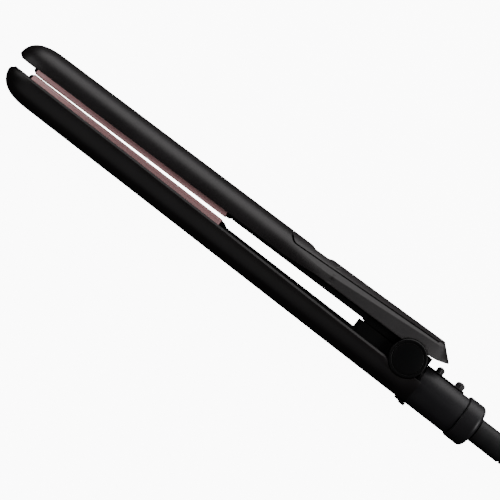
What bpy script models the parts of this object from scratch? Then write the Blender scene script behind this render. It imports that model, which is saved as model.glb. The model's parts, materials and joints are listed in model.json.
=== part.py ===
"""Hair straightening iron with two hinged arms, closed and lying on its side.

The hinge axis is +Z and stands on the table at the origin. +X runs from the hinge to the cord, along
the lower arm, and +Y points to the upper arm. The upper arm's pieces are drawn parallel to the lower
arm and hang on an empty at the hinge, which turns them by TOE_IN until the plates' tips nearly meet.
"""

import math

import bmesh
import bpy
from mathutils import Matrix, Vector

MM = 0.001
GAP = 0.3 * MM  # between pieces that touch or sit in each other
OVER = 2.0 * MM  # how far a cutter runs past what it cuts
EPS = 0.01 * MM

# Overall sizes
TIP_X = -228.0 * MM  # front end of both arms
ARM_WIDTH = 29.2 * MM
IRON_WIDTH = 30.0 * MM  # over the two hinge caps
MID_Z = IRON_WIDTH / 2
TOE_IN = math.radians(0.75)
WALL = 1.6 * MM
NOSE = 17.1 * MM  # length of the rounded nose
NOSE_POWER = 2.5
NOSE_STEPS = 7
NOSE_END = math.radians(85)
NOSE_HALF_WIDTH = 3.5 * MM
NOSE_LIP_RISE = 4.5 * MM  # length over which the lips turn outwards at the tip
NOSE_TIP_HEIGHT = 0.6 * MM
INSIDE_FRONT_SHARE = 0.45  # the hollow starts where the nose has this share of its full section
INSIDE_FULL_SHARE = 0.9

# Upper arm, before toe-in
UPPER_LIP = 4.2 * MM
UPPER_LIP_HANDLE = 5.4 * MM
UPPER_CROWN = 15.9 * MM
UPPER_CROWN_REAR = 16.85 * MM
UPPER_TIP_Y = 5.6 * MM
CROWN_RISE_X = -62.1 * MM
REAR_CORNER_X = 10.8 * MM
TAIL_START_X = 8.0 * MM
TAIL_TIP_X = 17.0 * MM
TAIL_START_Y = 6.8 * MM
TAIL_TIP_Y = 9.15 * MM
TAIL_HALF_WIDTH = 7.5 * MM
TAIL_TIP_HEIGHT = 0.9 * MM
CREASE_X = -74.1 * MM  # where the side starts to fold along a crease
CREASE_FULL_X = -48.1 * MM
CREASE_Y = 7.4 * MM
CREASE_RISE = 0.077
CREASE_INSET = 1.0 * MM
SEAM_Y = 11.8 * MM
SEAM_RISE = 0.043
SEAM_SLOPE = 1.05
CREASE_LEAST = 0.2  # share of the section's height that the crease stands above the lip, at least
CREASE_MOST = 0.65  # and at most
SEAM_MOST = 0.9
SEAM_STEP = 0.1  # least share of the height between the crease and the seam
FRONT_STATIONS = (-150.0 * MM, -100.0 * MM)
FOLD_STATIONS = (-68.0 * MM, -61.0 * MM, -54.0 * MM)
REAR_STATIONS = (-30.0 * MM, -12.0 * MM, 0.0, 7.5 * MM)

# Lower arm
LOWER_LIP = 4.4 * MM
LOWER_CROWN = 16.9 * MM
LOWER_TIP_Y = 6.0 * MM
LOWER_END_X = 11.4 * MM
LOWER_STATIONS = (-150.0 * MM, -80.0 * MM, -30.0 * MM)
OUTLET_RADIUS = 4.0 * MM

# Plates
PLATE_FRONT_X = -215.6 * MM
PLATE_LENGTH = 109.3 * MM
PLATE_THICKNESS = 3.2 * MM
PLATE_EDGE = 0.5 * MM
PLATE_TRAVEL = 0.8 * MM
PLATE_SIDE_GAP = 0.4 * MM
UPPER_PLATE_FACE = 1.35 * MM
LOWER_PLATE_FACE = 1.7 * MM
HOLDER_FRONT = 1.6 * MM
HOLDER_REAR = 2.8 * MM
HOLDER_SLOPE = 1.0 * MM  # the outer edge of the holder's ends slopes back this far
HOLDER_SLOPE_SHARE = 0.6
HOLDER_LIFT = 0.5 * MM  # the holder's ends stand this far behind the plate's face
HOLDER_HALF_WIDTH = 9.0 * MM
HOLDER_THICKNESS = 1.2 * MM
HEATER_LENGTH = 82.0 * MM
HEATER_WIDTH = 12.0 * MM
HEATER_THICKNESS = 2.4 * MM
PLATE_SPRING_RADIUS = 2.2 * MM
PLATE_SPRING_WIRE = 0.35 * MM
PLATE_SPRING_INSET = 22.0 * MM
PLATE_SPRING_TURNS = 3

# Hinge
DISC_RADIUS = 9.1 * MM
CAP_THICKNESS = 1.6 * MM
CAP_GROOVE_RADIUS = 7.5 * MM
CAP_GROOVE = 0.4 * MM
CAP_EDGE = 0.4 * MM
RECESS_RADIUS = DISC_RADIUS + 0.3 * MM
CHEEK_RADIUS = 8.8 * MM
CHEEK_THICKNESS = 5.0 * MM
PIN_RADIUS = 2.0 * MM
BARREL_RADIUS = 7.2 * MM
BARREL_GAP = 0.5 * MM
YOKE_FRONT_X = -26.9 * MM
YOKE_TOP = 1.2 * MM
YOKE_DEPTH = 10.2 * MM
YOKE_REAR_X = 7.4 * MM
YOKE_HALF_WIDTH = ARM_WIDTH / 2 - 3.6 * MM
KNUCKLE_FRONT_X = -25.5 * MM
KNUCKLE_THICKNESS = 3.8 * MM
KNUCKLE_CLEARANCE = 0.7 * MM
STOP_RIB = 1.3 * MM  # rib on the yoke that the knuckle's groove runs over
STOP_RIB_HALF_WIDTH = 2.0 * MM
GROOVE_CLEARANCE = 0.8 * MM
FLANGE_RADIUS = RECESS_RADIUS + 0.1 * MM  # round flange on the knuckle that closes the hinge to dust
FLANGE_HALF_WIDTH = 2.5 * MM
TONGUE_END_X = 11.0 * MM  # the flange's rear tongue under the tail
TONGUE_LOW = 2.0 * MM
ARM_SPRING_RADIUS = 3.7 * MM
ARM_SPRING_WIRE = 0.55 * MM
ARM_SPRING_TURNS = 4
SPRING_POCKET_RADIUS = 5.0 * MM

# Liners
UPPER_LINER_FACE = 2.5 * MM
LOWER_LINER_FACE = 3.4 * MM
LINER_FLOOR = 1.4 * MM
LINER_WALL = 1.5 * MM
LINER_EMBED = 1.4 * MM
LINER_SIDE_GAP = 0.5 * MM
INSERT_SHARE = 0.62  # the insert starts where the nose has this share of its full section
UPPER_INSERT_FACE = 3.7 * MM
LOWER_INSERT_FACE = 4.0 * MM
SCREW_RADIUS = 1.1 * MM
SCREW_HEAD_RADIUS = 2.0 * MM
SCREW_HEAD = 0.7 * MM
SCREW_LENGTH = 5.0 * MM
SCREW_INSET = 7.0 * MM
SCREW_SINK = 0.2 * MM  # below the liner's face

# Handle panel
PANEL_FRONT_X = -76.7 * MM
PANEL_REAR_X = 8.1 * MM
PANEL_HALF_WIDTH = 10.2 * MM
PANEL_WIDEN = 0.022
PANEL_CORNER = 4.0 * MM
PANEL_THICKNESS = 1.5 * MM
SCALLOP_X = -66.4 * MM
SCALLOP_LENGTH = 13.1 * MM
SCALLOP_DEPTH = 0.8 * MM
SCALLOP_RAMP = 3.3 * MM

# Neck, switches, lock, collar and strain relief
NECK_Y = -6.9 * MM
NECK_RADIUS = 10.3 * MM
NECK_WALL = 2.0 * MM
NECK_END_X = 36.0 * MM
NECK_FLAT = NECK_Y + NECK_RADIUS - 0.5 * MM  # height of the flat along the neck's top
SWITCH_PLATE_X = 12.2 * MM
SWITCH_PLATE_LENGTH = 19.7 * MM
SWITCH_PLATE_HALF_WIDTH = 3.8 * MM
SWITCH_PLATE_TOP = NECK_FLAT + 0.7 * MM
SWITCH_PLATE_THICKNESS = 1.0 * MM
BUTTON_TOP = NECK_FLAT + 3.7 * MM
BUTTON_TRAVEL = 0.8 * MM
BUTTON_FLANGE = 0.6 * MM
BUTTON_FLANGE_STEP = 0.9 * MM
BUTTON_EDGE = 0.5 * MM
BUTTON_SEAT = 0.4 * MM  # how far the flange sits below the neck's inner top
POWER_X = 17.5 * MM
POWER_RADIUS = 2.0 * MM
TEMPERATURE_X = 29.1 * MM
TEMPERATURE_RADIUS = 2.35 * MM
BOARD_THICKNESS = 1.6 * MM
SWITCH_BOARD_FRONT = 1.5 * MM
SWITCH_BOARD_REAR = 1.0 * MM
SWITCH_BOARD_HALF_WIDTH = 5.0 * MM
LOCK_X = 8.0 * MM
LOCK_RIB = 2.1 * MM
LOCK_LOW = 0.9 * MM
LOCK_HIGH = 1.6 * MM
LOCK_NOTCH = 0.5 * MM
LOCK_RIB_STEP = 0.4 * MM
LOCK_TRAVEL = 3.0 * MM
LOCK_HALF_WIDTH = 4.0 * MM
LOCK_STEM = 1.5 * MM
COLLAR_RADIUS = 10.75 * MM
COLLAR_END_X = 45.9 * MM
COLLAR_WALL = 1.6 * MM
COLLAR_ROUND = 2.4 * MM
SWIVEL_RADIUS = 8.2 * MM
SWIVEL_FLANGE = 3.0 * MM
RELIEF_RADIUS = 6.1 * MM
RELIEF_END_RADIUS = 4.2 * MM
RELIEF_LENGTH = 33.8 * MM
RELIEF_TAPER = 16.0 * MM
RELIEF_CORD_GAP = 0.6 * MM

# Control board and leads
CONTROL_BOARD_X = -98.0 * MM
CONTROL_BOARD_LENGTH = 58.0 * MM
CONTROL_BOARD_HALF_WIDTH = 8.0 * MM
CONTROL_BOARD_DEPTH = 3.1 * MM  # below the liner
LEAD_RADIUS = 0.9 * MM
LEAD_START = 10.0 * MM  # in front of the plate's rear end
LEAD_DROP = 0.4 * MM
LEAD_BOARD_DROP = 0.8 * MM
UPPER_LEAD_BEND_X = -60.0 * MM
UPPER_LEAD_END_X = -20.0 * MM

# Mains cord, its hank and its plug
CORD_RADIUS = 3.0 * MM
CORD_STEP = 8.0 * MM
HANK_X = 183.0 * MM  # middle of the hank
HANK_STRAIGHT = 36.0 * MM  # half the straight part of a run
HANK_OUTER_RADIUS = 24.05 * MM  # of the outer turn's centreline, round the ends
HANK_TURN_STEP = 6.05 * MM
HANK_ABREAST = 2
HANK_LAYERS = 3
TAIL_WAY_LENGTH = 24.0 * MM  # room in the hank's top for the cord's last turn
TAIL_WAY_WIDTH = 20.0 * MM
TIE_THICKNESS = 0.8 * MM
TIE_WIDTH = 10.0 * MM
TIE_X = -25.0 * MM  # from the middle of the hank
PLUG_WIDTH = 35.3 * MM
PLUG_THICKNESS = 13.7 * MM
PLUG_LENGTH = 30.0 * MM
PLUG_NOSE_WIDTH = 12.0 * MM
PLUG_REAR_X = -8.0 * MM  # from the middle of the hank
PLUG_EDGE = 1.5 * MM
PLUG_TAPER_SHARE = 0.8  # share of the length over which it widens
PIN_LENGTH = 19.0 * MM
PLUG_PIN_RADIUS = 2.0 * MM
PLUG_PIN_SPACING = 18.6 * MM

ARC_STEPS = 9

# Centreline of the cord from the strain relief to the hank, and from the hank to the plug.
LEAD_ROUTE = [
    (0.0803, -0.0069, 0.0150),
    (0.0850, -0.0069, 0.0150),
    (0.0920, -0.0075, 0.0140),
    (0.0990, -0.0104, 0.0115),
    (0.1060, -0.0153, 0.0083),
    (0.1130, -0.0212, 0.0056),
    (0.1200, -0.0264, 0.0042),
    (0.1270, -0.0298, 0.0039),
    (0.1340, -0.0310, 0.0040),
    (0.1405, -0.03095, 0.0041),
    (0.1467, -0.03095, 0.0041),
]
TAIL_ROUTE = [
    (0.2180, 0.0111, 0.0162),
    (0.2125, 0.0110, 0.0165),
    (0.2060, 0.0097, 0.0183),
    (0.1990, 0.0059, 0.0212),
    (0.1925, 0.0011, 0.0243),
    (0.1865, -0.0033, 0.0265),
    (0.1815, -0.0064, 0.0273),
    (0.1790, -0.0069, 0.02745),
    (0.1757, -0.0069, 0.02745),
]

for old in list(bpy.data.objects):
    bpy.data.objects.remove(old, do_unlink=True)

PARTS = bpy.data.collections.new("flat_iron")
CUTTERS = bpy.data.collections.new("cutters")
for collection in (PARTS, CUTTERS):
    bpy.context.scene.collection.children.link(collection)
CUTTERS.hide_render = True


def finish(name, color, roughness, metallic=0.0):
    """A material with one Principled shader."""
    material = bpy.data.materials.new(name)
    material.use_nodes = True
    shader = material.node_tree.nodes["Principled BSDF"]
    shader.inputs["Base Color"].default_value = (*color, 1.0)
    shader.inputs["Roughness"].default_value = roughness
    shader.inputs["Metallic"].default_value = metallic
    return material


SOFT_BLACK = finish("soft_touch_black", (0.012, 0.011, 0.012), 0.48)
LINER_BLACK = finish("heatproof_black", (0.006, 0.006, 0.006), 0.55)
PANEL_BLACK = finish("panel_black", (0.02, 0.018, 0.02), 0.4)
ROSE = finish("rose_ceramic", (0.52, 0.26, 0.27), 0.3, 0.6)
STEEL = finish("steel", (0.55, 0.55, 0.57), 0.3, 1.0)
BOARD_GREEN = finish("circuit_board", (0.02, 0.12, 0.05), 0.5)
HEATER_GREY = finish("heater_film", (0.45, 0.35, 0.2), 0.5)
RUBBER = finish("cord_rubber", (0.015, 0.015, 0.016), 0.6)
SILICONE = finish("lead_silicone", (0.5, 0.06, 0.04), 0.5)

UPPER_PIVOT = bpy.data.objects.new("upper_arm_pivot", None)
PARTS.objects.link(UPPER_PIVOT)
UPPER_PIVOT.rotation_euler = (0, 0, TOE_IN)


def place(name, mesh, material, cutter=False, parent=None):
    """An object for the mesh, in its collection, with its material."""
    obj = bpy.data.objects.new(name, mesh)
    (CUTTERS if cutter else PARTS).objects.link(obj)
    mesh.materials.clear()
    mesh.materials.append(material)
    if cutter:
        obj.hide_render = True
        obj.display_type = "WIRE"
    obj.parent = parent
    return obj


def from_bmesh(name, bm, material, cutter=False, parent=None):
    """An object from a bmesh, with its normals turned outwards and its round faces smooth."""
    bmesh.ops.recalc_face_normals(bm, faces=bm.faces)
    mesh = bpy.data.meshes.new(name)
    bm.to_mesh(mesh)
    bm.free()
    mesh.shade_smooth()
    mesh.set_sharp_from_angle(angle=math.radians(35))
    return place(name, mesh, material, cutter, parent)


def box(name, x, y, z, material=LINER_BLACK, cutter=False, parent=None):
    """A box from its two X values, two Y values and two Z values."""
    bm = bmesh.new()
    bmesh.ops.create_cube(bm, size=1)
    middle = Vector((sum(x), sum(y), sum(z))) / 2
    size = (abs(x[1] - x[0]), abs(y[1] - y[0]), abs(z[1] - z[0]))
    bmesh.ops.scale(bm, vec=size, verts=bm.verts)
    bmesh.ops.translate(bm, vec=middle, verts=bm.verts)
    return from_bmesh(name, bm, material, cutter, parent)


def rod(name, radius, start, end, material=LINER_BLACK, cutter=False, parent=None, sides=32):
    """A round bar from one point to another."""
    start, end = Vector(start), Vector(end)
    bm = bmesh.new()
    bmesh.ops.create_cone(
        bm, cap_ends=True, segments=sides, radius1=radius, radius2=radius, depth=(end - start).length
    )
    turn = Vector((0, 0, 1)).rotation_difference(end - start).to_matrix().to_4x4()
    bmesh.ops.transform(bm, matrix=Matrix.Translation((start + end) / 2) @ turn, verts=bm.verts)
    return from_bmesh(name, bm, material, cutter, parent)


def solid_from(obj, name, material, cutter=False, parent=None):
    """Turns a curve or a modified object into a mesh object with welded caps."""
    bpy.context.view_layer.update()
    mesh = bpy.data.meshes.new_from_object(obj.evaluated_get(bpy.context.evaluated_depsgraph_get()))
    bm = bmesh.new()
    bm.from_mesh(mesh)
    bmesh.ops.remove_doubles(bm, verts=bm.verts, dist=EPS / 10)
    bmesh.ops.transform(bm, matrix=obj.matrix_world, verts=bm.verts)
    bpy.data.objects.remove(obj)
    return from_bmesh(name, bm, material, cutter, parent)


def plate_from(name, outlines, low, high, material=LINER_BLACK, cutter=False, parent=None):
    """A flat outline in X and Y, with any holes in it, as a solid between two heights."""
    curve = bpy.data.curves.new(name, "CURVE")
    curve.dimensions = "2D"
    curve.fill_mode = "BOTH"
    curve.extrude = (high - low) / 2
    for outline in outlines:
        spline = curve.splines.new("POLY")
        spline.points.add(len(outline) - 1)
        for point, (x, y) in zip(spline.points, outline):
            point.co = (x, y, 0, 1)
        spline.use_cyclic_u = True
    obj = bpy.data.objects.new(name, curve)
    PARTS.objects.link(obj)
    obj.location.z = (low + high) / 2
    return solid_from(obj, name, material, cutter, parent)


def turned(name, profile, axis, material=LINER_BLACK, cutter=False, parent=None, steps=32):
    """A solid of revolution. The profile's (radius, height) points run from the top down the outside."""
    mesh = bpy.data.meshes.new(name)
    points = [(radius, 0, height) for radius, height in profile]
    mesh.from_pydata(points, [(i, i + 1) for i in range(len(points) - 1)], [])
    obj = bpy.data.objects.new(name, mesh)
    PARTS.objects.link(obj)
    screw = obj.modifiers.new("turn", "SCREW")
    screw.axis = "Z"
    screw.steps = steps
    screw.render_steps = steps
    screw.use_merge_vertices = True
    screw.merge_threshold = EPS / 10
    origin, direction = axis
    obj.rotation_mode = "QUATERNION"
    obj.rotation_quaternion = Vector((0, 0, 1)).rotation_difference(Vector(direction))
    obj.location = origin
    return solid_from(obj, name, material, cutter, parent)


def tube(name, points, radius, material=RUBBER, parent=None, resolution=2):
    """A round wire or cord along a row of points."""
    curve = bpy.data.curves.new(name, "CURVE")
    curve.dimensions = "3D"
    curve.bevel_depth = radius
    curve.bevel_resolution = resolution
    curve.use_fill_caps = True
    spline = curve.splines.new("POLY")
    spline.points.add(len(points) - 1)
    for point, place_of in zip(spline.points, points):
        point.co = (*place_of, 1)
    obj = bpy.data.objects.new(name, curve)
    PARTS.objects.link(obj)
    curve.materials.append(material)
    obj.parent = parent
    return obj


def loft(name, rings, material=SOFT_BLACK, cutter=False, parent=None):
    """A closed solid through rings with the same number of points."""
    bm = bmesh.new()
    rows = [[bm.verts.new(point) for point in ring] for ring in rings]
    for one, two in zip(rows, rows[1:]):
        for i in range(len(one)):
            j = (i + 1) % len(one)
            bm.faces.new((one[i], one[j], two[j], two[i]))
    bm.faces.new(rows[0])
    bm.faces.new(rows[-1])
    return from_bmesh(name, bm, material, cutter, parent)


def boolean(obj, other, operation="DIFFERENCE"):
    """Cuts, joins or keeps what two solids share. The other solid stays as a cutter."""
    step = obj.modifiers.new(other.name, "BOOLEAN")
    step.operation = operation
    step.solver = "EXACT"
    step.object = other


def bevel(obj, width, segments=2):
    """Rounds the sharp edges of an object."""
    step = obj.modifiers.new("round", "BEVEL")
    step.width = width
    step.segments = segments
    step.limit_method = "ANGLE"
    step.angle_limit = math.radians(40)


def smooth_curve(points, spacing):
    """Evenly spaced points on a smooth curve through the given ones."""
    knots = [Vector(point) for point in points]
    knots = [knots[0] * 2 - knots[1], *knots, knots[-1] * 2 - knots[-2]]
    fine = []
    for a, b, c, d in zip(knots, knots[1:], knots[2:], knots[3:]):
        for step in range(20):
            t = step / 20
            square, cube = a * 2 - b * 5 + c * 4 - d, b * 3 - a - c * 3 + d
            fine.append((b * 2 + (c - a) * t + square * t**2 + cube * t**3) / 2)
    fine.append(knots[-2])
    total = sum((b - a).length for a, b in zip(fine, fine[1:]))
    count = max(2, round(total / spacing))
    found, walked, at = [fine[0]], 0.0, 1
    for a, b in zip(fine, fine[1:]):
        walked += (b - a).length
        if walked >= total * at / count - EPS / 100 and at < count:
            found.append(b)
            at += 1
    found.append(fine[-1])
    return found


def blend(low, high, value):
    """0 below low, 1 above high and a smooth step between."""
    t = min(1.0, max(0.0, (value - low) / (high - low)))
    return t * t * (3 - 2 * t)


def upper_lip(x):
    """Height of the upper shell's lip."""
    if x < CREASE_X:
        nose = max(0.0, TIP_X + NOSE_LIP_RISE - x) / NOSE_LIP_RISE
        return UPPER_LIP + (UPPER_TIP_Y - UPPER_LIP) * nose**2
    if x < -DISC_RADIUS:
        return UPPER_LIP + (UPPER_LIP_HANDLE - UPPER_LIP) * blend(CREASE_X, CREASE_FULL_X, x)
    if x < TAIL_START_X:
        share = (x + DISC_RADIUS) / (TAIL_START_X + DISC_RADIUS)
        return UPPER_LIP_HANDLE + (TAIL_START_Y - UPPER_LIP_HANDLE) * share
    return TAIL_START_Y + (TAIL_TIP_Y - TAIL_START_Y) * (x - TAIL_START_X) / (TAIL_TIP_X - TAIL_START_X)


def upper_crown(x):
    """Height of the upper shell along its middle, behind the nose."""
    if x <= REAR_CORNER_X:
        share = max(0.0, x - CROWN_RISE_X) / (REAR_CORNER_X - CROWN_RISE_X)
        return UPPER_CROWN + (UPPER_CROWN_REAR - UPPER_CROWN) * share
    share = (x - REAR_CORNER_X) / (TAIL_TIP_X - REAR_CORNER_X)
    return UPPER_CROWN_REAR + (TAIL_TIP_Y + TAIL_TIP_HEIGHT - UPPER_CROWN_REAR) * share


def half_section(x, lip, crown, half_width):
    """Half of the upper shell's outline, from its lip to its crown, as (y, z) points.

    It is a half ellipse in front. In the handle it folds along a crease and again at the panel's seam.
    """
    height = crown - lip
    folded = blend(CREASE_X, CREASE_FULL_X, x)
    crease = min(CREASE_Y + CREASE_RISE * (x - CREASE_X), lip + CREASE_MOST * height)
    seam = min(SEAM_Y + SEAM_RISE * (x - CREASE_X), lip + SEAM_MOST * height)
    crease = max(lip + CREASE_LEAST * height, crease)
    seam = max(seam, crease + SEAM_STEP * height)
    crease_z = half_width - CREASE_INSET * min(1.0, half_width / ARM_WIDTH * 2)
    seam_z = crease_z - (seam - crease) * SEAM_SLOPE
    creased = []
    for i in range(9):
        if i <= 3:
            point = (lip + (crease - lip) * i / 3, half_width + (crease_z - half_width) * i / 3)
        elif i <= 5:
            point = (crease + (seam - crease) * (i - 3) / 2, crease_z + (seam_z - crease_z) * (i - 3) / 2)
        else:
            z = seam_z * (8 - i) / 3
            point = (crown - (crown - seam) * (z / seam_z) ** 2, z)
        creased.append(point)
    section = []
    for i, (y, z) in enumerate(creased):
        angle = math.pi / 2 * i / 8
        round_y = lip + height * math.sin(angle)
        round_z = half_width * math.cos(angle)
        section.append((round_y + (y - round_y) * folded, round_z + (z - round_z) * folded))
    return section


def nose_stations():
    """(x, share) along the nose, where share is how much of the full section there is."""
    found = []
    for i in range(NOSE_STEPS, -1, -1):
        angle = NOSE_END * i / NOSE_STEPS
        x = TIP_X + NOSE - NOSE * math.sin(angle) ** (2 / NOSE_POWER)
        found.append((x, math.cos(angle) ** (2 / NOSE_POWER)))
    return found


def ring(x, half, skirt):
    """A closed ring at x from half a section, with its open side moved out by skirt."""
    both = [(y, MID_Z + z) for y, z in half] + [(y, MID_Z - z) for y, z in reversed(half[:-1])]
    start, end = both[0], both[-1]
    away = skirt if half[0][0] < half[-1][0] else -skirt
    if skirt:
        both = [(start[0] - away, start[1]), *both, (end[0] - away, end[1])]
    return [(x, y, z) for y, z in both]


def upper_rings(inset, skirt):
    """Rings of the upper shell's outside, or of its inside when inset is its wall."""
    rings = []
    full = ARM_WIDTH / 2
    for x, share in nose_stations():
        width = NOSE_HALF_WIDTH + (full - NOSE_HALF_WIDTH) * share
        crown = UPPER_TIP_Y + (UPPER_CROWN - UPPER_TIP_Y) * share
        if inset and share < INSIDE_FRONT_SHARE:
            continue
        where = x + inset * (share < INSIDE_FULL_SHARE)
        section = half_section(x, min(upper_lip(x), crown - NOSE_TIP_HEIGHT), crown - inset, width - inset)
        rings.append(ring(where, section, skirt))
    stations = [*FRONT_STATIONS, CREASE_X, *FOLD_STATIONS, CREASE_FULL_X, *REAR_STATIONS]
    for x in [*stations, REAR_CORNER_X - inset]:
        narrow = max(0.0, x - TAIL_START_X) / (TAIL_TIP_X - TAIL_START_X)
        width = full - (full - TAIL_HALF_WIDTH) * narrow
        rings.append(ring(x, half_section(x, upper_lip(x), upper_crown(x) - inset, width - inset), skirt))
    if not inset:
        tail = half_section(TAIL_TIP_X, TAIL_TIP_Y, upper_crown(TAIL_TIP_X), TAIL_HALF_WIDTH)
        rings.append(ring(TAIL_TIP_X, tail, skirt))
    return rings


def lower_section(lip, crown, half_width):
    """Half of the lower shell's half ellipse, from its lip to its crown, as (y, z) points."""
    return [
        (-lip - (crown - lip) * math.sin(math.pi / 2 * i / 8), half_width * math.cos(math.pi / 2 * i / 8))
        for i in range(9)
    ]


def lower_rings(inset, skirt):
    """Rings of the lower shell's outside, or of its inside when inset is its wall."""
    rings = []
    full = ARM_WIDTH / 2
    for x, share in nose_stations():
        width = NOSE_HALF_WIDTH + (full - NOSE_HALF_WIDTH) * share
        tip = LOWER_TIP_Y + NOSE_TIP_HEIGHT
        crown = tip + (LOWER_CROWN - tip) * share
        if inset and share < INSIDE_FRONT_SHARE:
            continue
        where = x + inset * (share < INSIDE_FULL_SHARE)
        nose = max(0.0, TIP_X + NOSE_LIP_RISE - x) / NOSE_LIP_RISE
        lip = LOWER_LIP + (LOWER_TIP_Y - LOWER_LIP) * nose**2
        rings.append(ring(where, lower_section(lip, crown - inset, width - inset), skirt))
    for x in (*LOWER_STATIONS, LOWER_END_X - inset):
        rings.append(ring(x, lower_section(LOWER_LIP, LOWER_CROWN - inset, full - inset), skirt))
    return rings


def panel_outline(gap):
    """The handle panel's outline in X and Z, larger by gap."""
    corner = PANEL_CORNER
    front, rear = PANEL_FRONT_X - gap, PANEL_REAR_X + gap
    points = [(rear, PANEL_HALF_WIDTH + PANEL_WIDEN * (rear - front) + gap)]
    for i in range(ARC_STEPS):
        angle = math.pi / 2 * i / (ARC_STEPS - 1)
        x = front + corner - corner * math.sin(angle)
        points.append((x, PANEL_HALF_WIDTH + gap - corner + corner * math.cos(angle)))
    return points + [(x, -z) for x, z in reversed(points)]


def panel_prism(name, gap, low, parent):
    """The panel's outline as a tall prism above low, which cuts the shell and shapes the panel."""
    rings = [
        [(x, y, MID_Z + z) for x, z in panel_outline(gap)] for y in (low, UPPER_CROWN_REAR + OVER)
    ]
    return loft(name, rings, cutter=True, parent=parent)


def make_upper_shell():
    shell = loft("upper_shell", upper_rings(0.0, 0.0), parent=UPPER_PIVOT)
    boolean(shell, loft("upper_shell_inside", upper_rings(WALL, OVER), cutter=True, parent=UPPER_PIVOT))
    boolean(
        shell,
        rod(
            "upper_hinge_recess",
            RECESS_RADIUS,
            (0, 0, -OVER),
            (0, 0, IRON_WIDTH + OVER),
            cutter=True,
            parent=UPPER_PIVOT,
            sides=48,
        ),
    )
    boolean(shell, panel_prism("panel_window", GAP, UPPER_LIP_HANDLE, UPPER_PIVOT))


def make_panel():
    panel = loft("handle_panel", upper_rings(0.0, 0.0), PANEL_BLACK, parent=UPPER_PIVOT)
    boolean(panel, panel_prism("panel_shape", 0.0, UPPER_LIP_HANDLE, UPPER_PIVOT), "INTERSECT")
    boolean(panel, loft("panel_inside", upper_rings(PANEL_THICKNESS, OVER), cutter=True, parent=UPPER_PIVOT))
    top = UPPER_CROWN
    end = SCALLOP_X + SCALLOP_LENGTH
    outline = [
        (SCALLOP_X, top + OVER),
        (SCALLOP_X, top),
        (SCALLOP_X + SCALLOP_RAMP, top - SCALLOP_DEPTH),
        (end - SCALLOP_RAMP, top - SCALLOP_DEPTH),
        (end, top + 10 * EPS),
        (end, top + OVER),
    ]
    boolean(panel, plate_from("scallop", [outline], 0, IRON_WIDTH, cutter=True, parent=UPPER_PIVOT))


def make_lower_shell():
    shell = loft("lower_shell", lower_rings(0.0, 0.0))
    boolean(shell, loft("lower_shell_inside", lower_rings(WALL, OVER), cutter=True))
    ends = ((0, 0, -OVER), (0, 0, IRON_WIDTH + OVER))
    boolean(shell, rod("lower_hinge_recess", RECESS_RADIUS, *ends, cutter=True, sides=48))
    slot = (LOCK_X - LOCK_TRAVEL - GAP, LOCK_X + LOCK_STEM + 2 * GAP)
    depth = (-LOWER_CROWN - OVER, -LOWER_CROWN + WALL + OVER)
    width = (MID_Z - LOCK_STEM - GAP, MID_Z + LOCK_STEM + GAP)
    boolean(shell, box("lock_slot", slot, depth, width, cutter=True))
    outlet = ((LOWER_END_X - 2 * OVER, NECK_Y, MID_Z), (LOWER_END_X + OVER, NECK_Y, MID_Z))
    boolean(shell, rod("wire_outlet", OUTLET_RADIUS, *outlet, cutter=True))


def make_liner(name, side, face, lip, rear_x, parent):
    """A tray that closes an arm's inner side between its plate and the hinge, and its two screws."""
    front_x = PLATE_FRONT_X + PLATE_LENGTH + HOLDER_REAR + 2 * GAP
    half = ARM_WIDTH / 2 - WALL - LINER_SIDE_GAP
    back = lip + LINER_EMBED
    tray = box(
        name, (front_x, rear_x), (side * face, side * back), (MID_Z - half, MID_Z + half), parent=parent
    )
    inner = half - LINER_WALL
    pocket = box(
        name + "_pocket",
        (front_x + LINER_WALL, rear_x - LINER_WALL),
        (side * (face + LINER_FLOOR), side * (back + OVER)),
        (MID_Z - inner, MID_Z + inner),
        cutter=True,
        parent=parent,
    )
    boolean(tray, pocket)
    for number, x in enumerate((front_x + SCREW_INSET, rear_x - SCREW_INSET), 1):
        head = side * (face + SCREW_SINK)
        profile = [(0, 0), (SCREW_HEAD_RADIUS, 0), (SCREW_HEAD_RADIUS, -SCREW_HEAD)]
        profile += [(SCREW_RADIUS, -SCREW_HEAD), (SCREW_RADIUS, -SCREW_LENGTH), (0, -SCREW_LENGTH)]
        axis = ((x, head, MID_Z), (0, -side, 0))
        turned(f"{name}_screw_{number}", profile, axis, STEEL, parent=parent, steps=16)
        sink = SCREW_HEAD + GAP
        outer = SCREW_HEAD_RADIUS + GAP
        inner_radius = SCREW_RADIUS + GAP
        hole = [(0, OVER), (outer, OVER), (outer, -sink), (inner_radius, -sink)]
        hole += [(inner_radius, -SCREW_LENGTH - OVER), (0, -SCREW_LENGTH - OVER)]
        boolean(tray, turned(f"{name}_hole_{number}", hole, axis, cutter=True, parent=parent, steps=16))


def make_tip_insert(name, side, face, lip, parent):
    """The black block that closes an arm in front of its plate, shaped to the inside of the nose."""
    rear_x = PLATE_FRONT_X - HOLDER_FRONT - 2 * GAP
    edge = []
    for x, share in nose_stations():
        front_x = x + WALL + 2 * GAP
        if share > INSERT_SHARE and front_x < rear_x:
            half = NOSE_HALF_WIDTH + (ARM_WIDTH / 2 - NOSE_HALF_WIDTH) * share - WALL - 2 * GAP
            edge.append((front_x, half))
    edge.append((rear_x, edge[-1][1]))
    outline = edge + [(x, -z) for x, z in reversed(edge)]
    heights = (side * face, side * (lip + LINER_EMBED))
    rings = [[(x, y, MID_Z + z) for x, z in outline] for y in heights]
    loft(name, rings, LINER_BLACK, parent=parent)


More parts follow.
